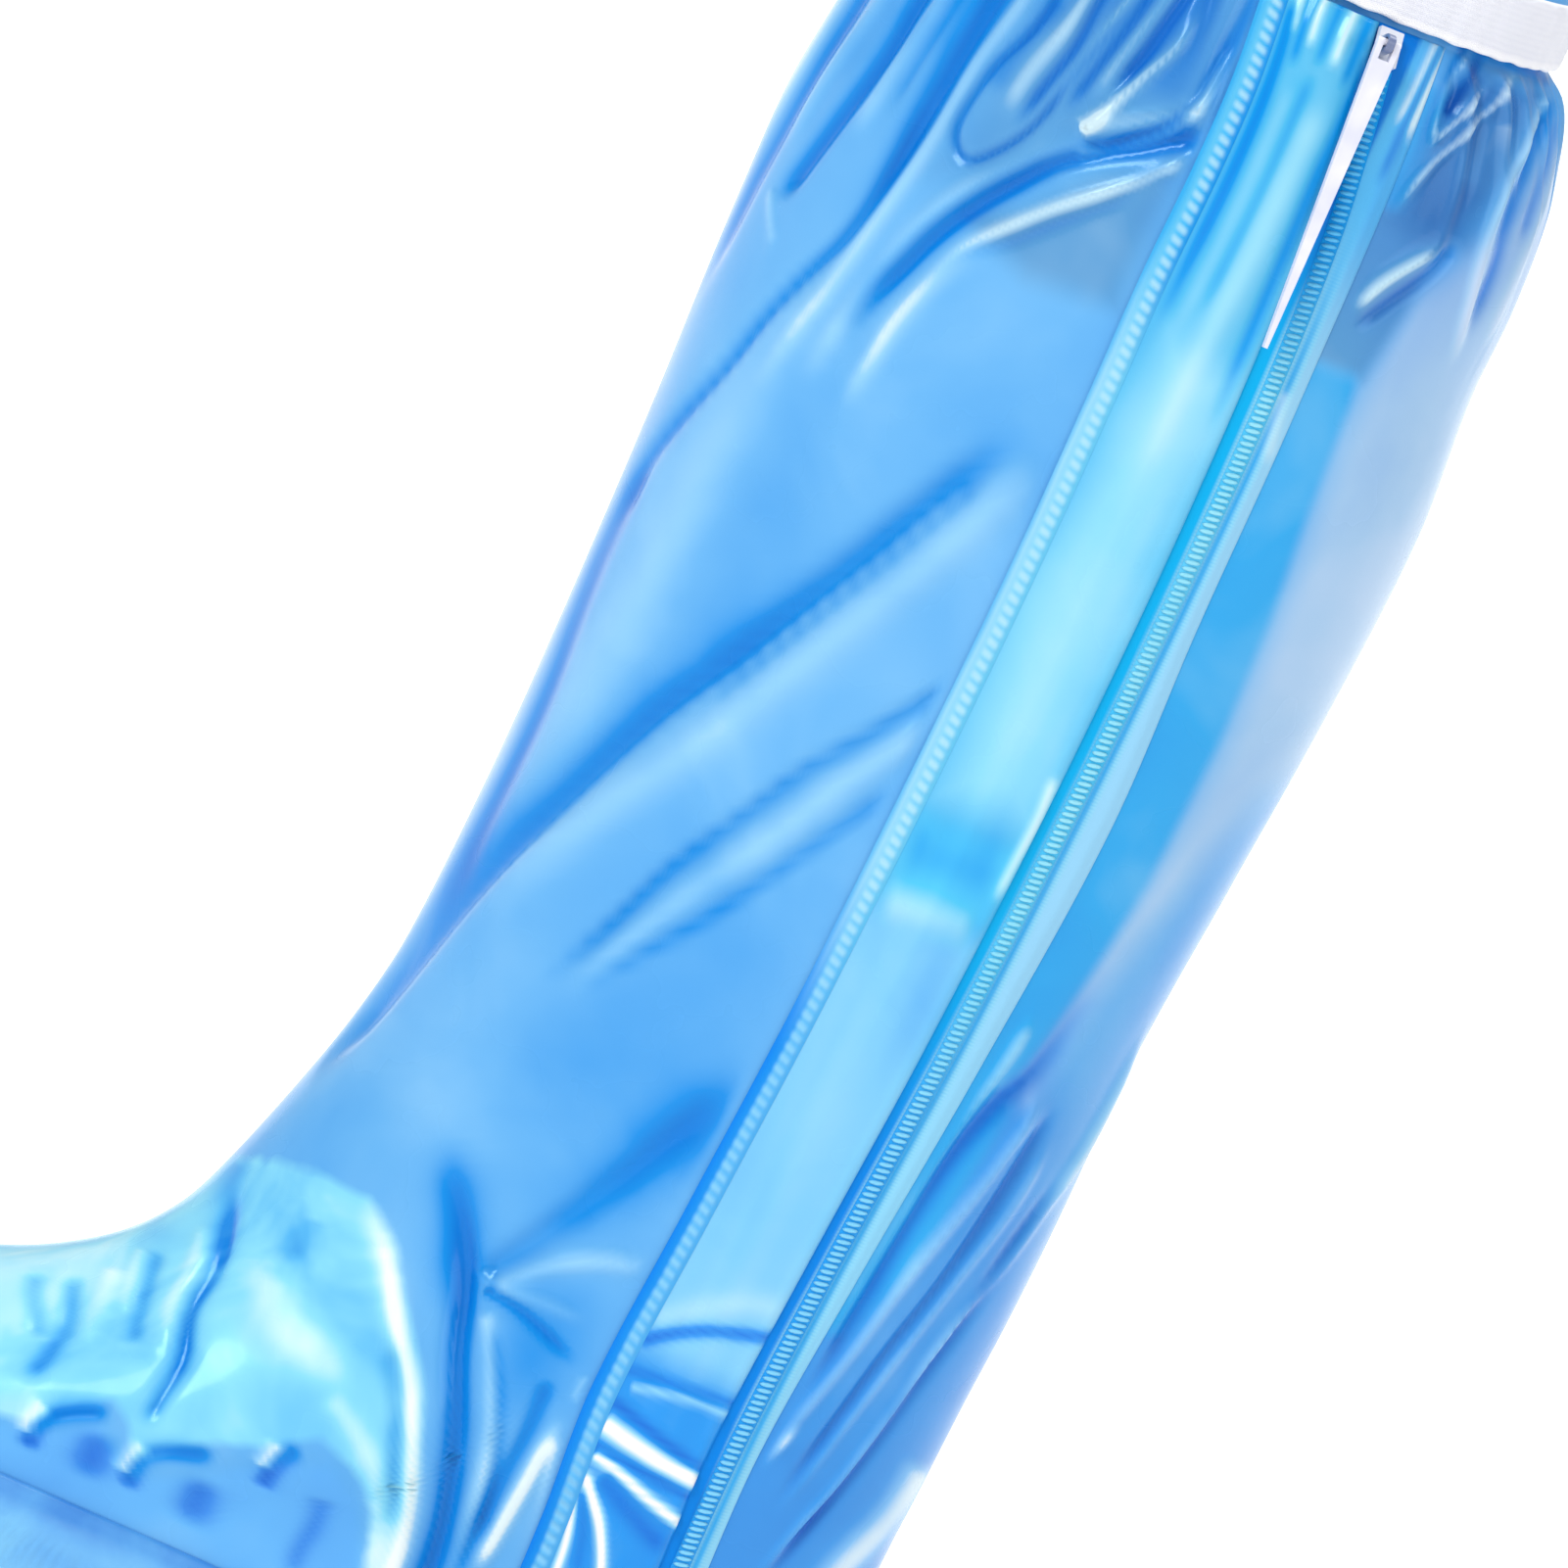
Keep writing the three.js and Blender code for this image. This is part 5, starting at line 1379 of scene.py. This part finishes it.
# Key, name, colour, roughness from low to high with its scale, bump with its strength and distance, and
# the inputs that stay the same all over
LOOKS = [
    ("film", "blue_film", film_colour, (0.2, 0.32, 30), film_bump, 0.35, 0.0006, GLOSSY_FILM),
    ("flap", "flap_film", flap_colour, (0.2, 0.3, 40), film_bump, 0.3, 0.0005, GLOSSY_FILM),
    ("seam", "stitched_strip", seam_colour, (0.3, 0.42, 60), grain_bump(700), 0.2, 0.0003,
     (("Specular IOR Level", 0.3), ("Specular Tint", BLUE_GLINT))),
    ("tape", "zip_tape_weave", tape_colour, (0.38, 0.5, 80), grain_bump(1200), 0.2, 0.0003,
     (("Specular IOR Level", 0.25), ("Specular Tint", BLUE_GLINT))),
    ("coil", "coil_nylon", coil_colour, (0.25, 0.38, 90), grain_bump(600), 0.1, 0.0002,
     (("Coat Weight", 0.15), ("Coat Roughness", 0.15), ("Specular Tint", BLUE_GLINT))),
    ("bed", "coil_bed_film", bed_colour, (0.3, 0.4, 90), grain_bump(600), 0.1, 0.0002,
     (("Specular IOR Level", 0.25), ("Specular Tint", BLUE_GLINT))),
    ("band", "woven_elastic", band_colour, (0.75, 0.9, 60), band_bump, 0.35, 0.0003,
     (("Sheen Weight", 0.3),)),
    ("sole", "moulded_sole", sole_colour, (0.3, 0.5, 50), grain_bump(500), 0.2, 0.0004,
     (("Coat Weight", 0.25), ("Coat Roughness", 0.25))),
    ("lug", "tread", lug_colour, (0.45, 0.65, 60), grain_bump(400), 0.3, 0.0004, ()),
    ("slider", "slider_paint", slider_colour, (0.25, 0.35, 100), grain_bump(800), 0.05, 0.0002,
     (("Coat Weight", 0.3), ("Coat Roughness", 0.1))),
    ("pull", "pull_white", pull_colour, (0.25, 0.35, 100), grain_bump(800), 0.05, 0.0002,
     (("Coat Weight", 0.4), ("Coat Roughness", 0.1))),
]
MATERIALS = {
    key: finish_material(name, base, roughness_from(*rough), bump, strength, distance, constants)
    for key, name, base, rough, bump, strength, distance, constants in LOOKS
}


def settle(piece, material, node, body="cover"):
    """Gives a piece its material in a slot and its body, and hides the CAD node that it stands for."""
    piece.data.materials.append(MATERIALS[material])
    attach(piece, body)
    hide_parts(node)


seam_start = line(SEAM, -SEAM_WIDTH / 2)
film = film_piece()
flap = strip_piece("storm_flap", seam_start, line(EDGE), ZIP_BOTTOM, ZIP_TOP, 56, 300, flap_under, flap_over,
                   flap_shades)
seam = strip_piece("stitched_seam", seam_start, line(SEAM, SEAM_WIDTH / 2), ZIP_BOTTOM + 1, ZIP_TOP - 0.6,
                   16, 920, flat(LAID_ON + 0.45), seam_over, seam_shades)
tape = strip_piece("woven_tape", line(EDGE, -TAPE_UNDER_FLAP), line(FACING), ZIP_BOTTOM, ZIP_TOP, 40, 240,
                   flat(LAID_ON), tape_over, tape_shades)
settle(film, "film", "upper")
settle(flap, "flap", "zip_flap")
settle(seam, "seam", "flap_seam")
settle(tape, "tape", "zip_tape")
settle(coil_piece(), "coil", "zip_coil")
settle(coil_bed_piece(), "bed", "zip_coil")
settle(band_piece(), "band", "top_band")
settle(sole_piece(), "sole", "sole")
settle(lug_piece(), "lug", "sole")
settle(slider_piece(), "slider", "zip_slider")
settle(rounded_copy("zip_pull", "pull_tab", 0.4), "pull", "zip_pull", "pull")


FLOOR_REACH = 16000
FLOOR_LEVEL = -0.05


def floor_colour(tree):
    return mix(tree, noise(tree, 3, 2.0), (0.93, 0.93, 0.93, 1), (0.95, 0.95, 0.95, 1))


def floor_piece():
    """Plain pale floor, a square grid much larger than the view."""
    side = np.linspace(-FLOOR_REACH, FLOOR_REACH, 3)
    x, y = np.meshgrid(side, side)
    floor = mesh_of("floor", np.stack([x, y, np.full(x.shape, FLOOR_LEVEL)], -1), [grid_faces(3, 3, False)])
    floor.data.materials.append(finish_material("pale_floor", floor_colour, 0.9))


floor_piece()

VIEW_AIM = Vector((0.059, 0, 0.237))
VIEW_DISTANCE = 5.0
VIEW_SPAN = 0.32
VIEW_ROLL = math.radians(25)
SKY_LIGHT = 0.47


def camera_piece():
    """Camera at the photograph's angle: level with the zip side, looking down by the tilt, rolled so that
    the leg leans to the right."""
    data = bpy.data.cameras.new("camera")
    data.angle = 2 * math.atan(VIEW_SPAN / 2 / VIEW_DISTANCE)
    data.clip_end = 100
    camera = bpy.data.objects.new("camera", data)
    bpy.context.scene.collection.objects.link(camera)
    across = Vector((1, 0, 0))
    up = Vector((0, math.sin(VIEW_TILT), math.cos(VIEW_TILT)))
    back = across.cross(up)
    right = across * math.cos(VIEW_ROLL) + up * math.sin(VIEW_ROLL)
    top = up * math.cos(VIEW_ROLL) - across * math.sin(VIEW_ROLL)
    place = VIEW_AIM + back * VIEW_DISTANCE
    turn = Matrix((right, top, back)).transposed().to_4x4()
    camera.matrix_world = Matrix.Translation(place) @ turn
    bpy.context.scene.camera = camera


def sun(name, direction, strength, spread):
    """Soft sun from a direction, as wide as its spread in degrees."""
    data = bpy.data.lights.new(name, "SUN")
    data.energy = strength
    data.angle = math.radians(spread)
    light = bpy.data.objects.new(name, data)
    light.rotation_euler = Vector(direction).to_track_quat("Z", "Y").to_euler()
    bpy.context.scene.collection.objects.link(light)


camera_piece()
world = bpy.data.worlds.new("studio")
world.use_nodes = True
sky = world.node_tree.nodes["Background"]
sky.inputs["Color"].default_value = (1, 1, 1, 1)
sky.inputs["Strength"].default_value = SKY_LIGHT
bpy.context.scene.world = world
sun("key", (-0.6, -0.75, 0.75), 1.95, 24)
sun("fill", (0.9, -0.6, 0.4), 0.8, 40)
sun("top", (0.1, 0.35, 1), 2.0, 40)
bpy.context.scene.view_settings.view_transform = "Standard"
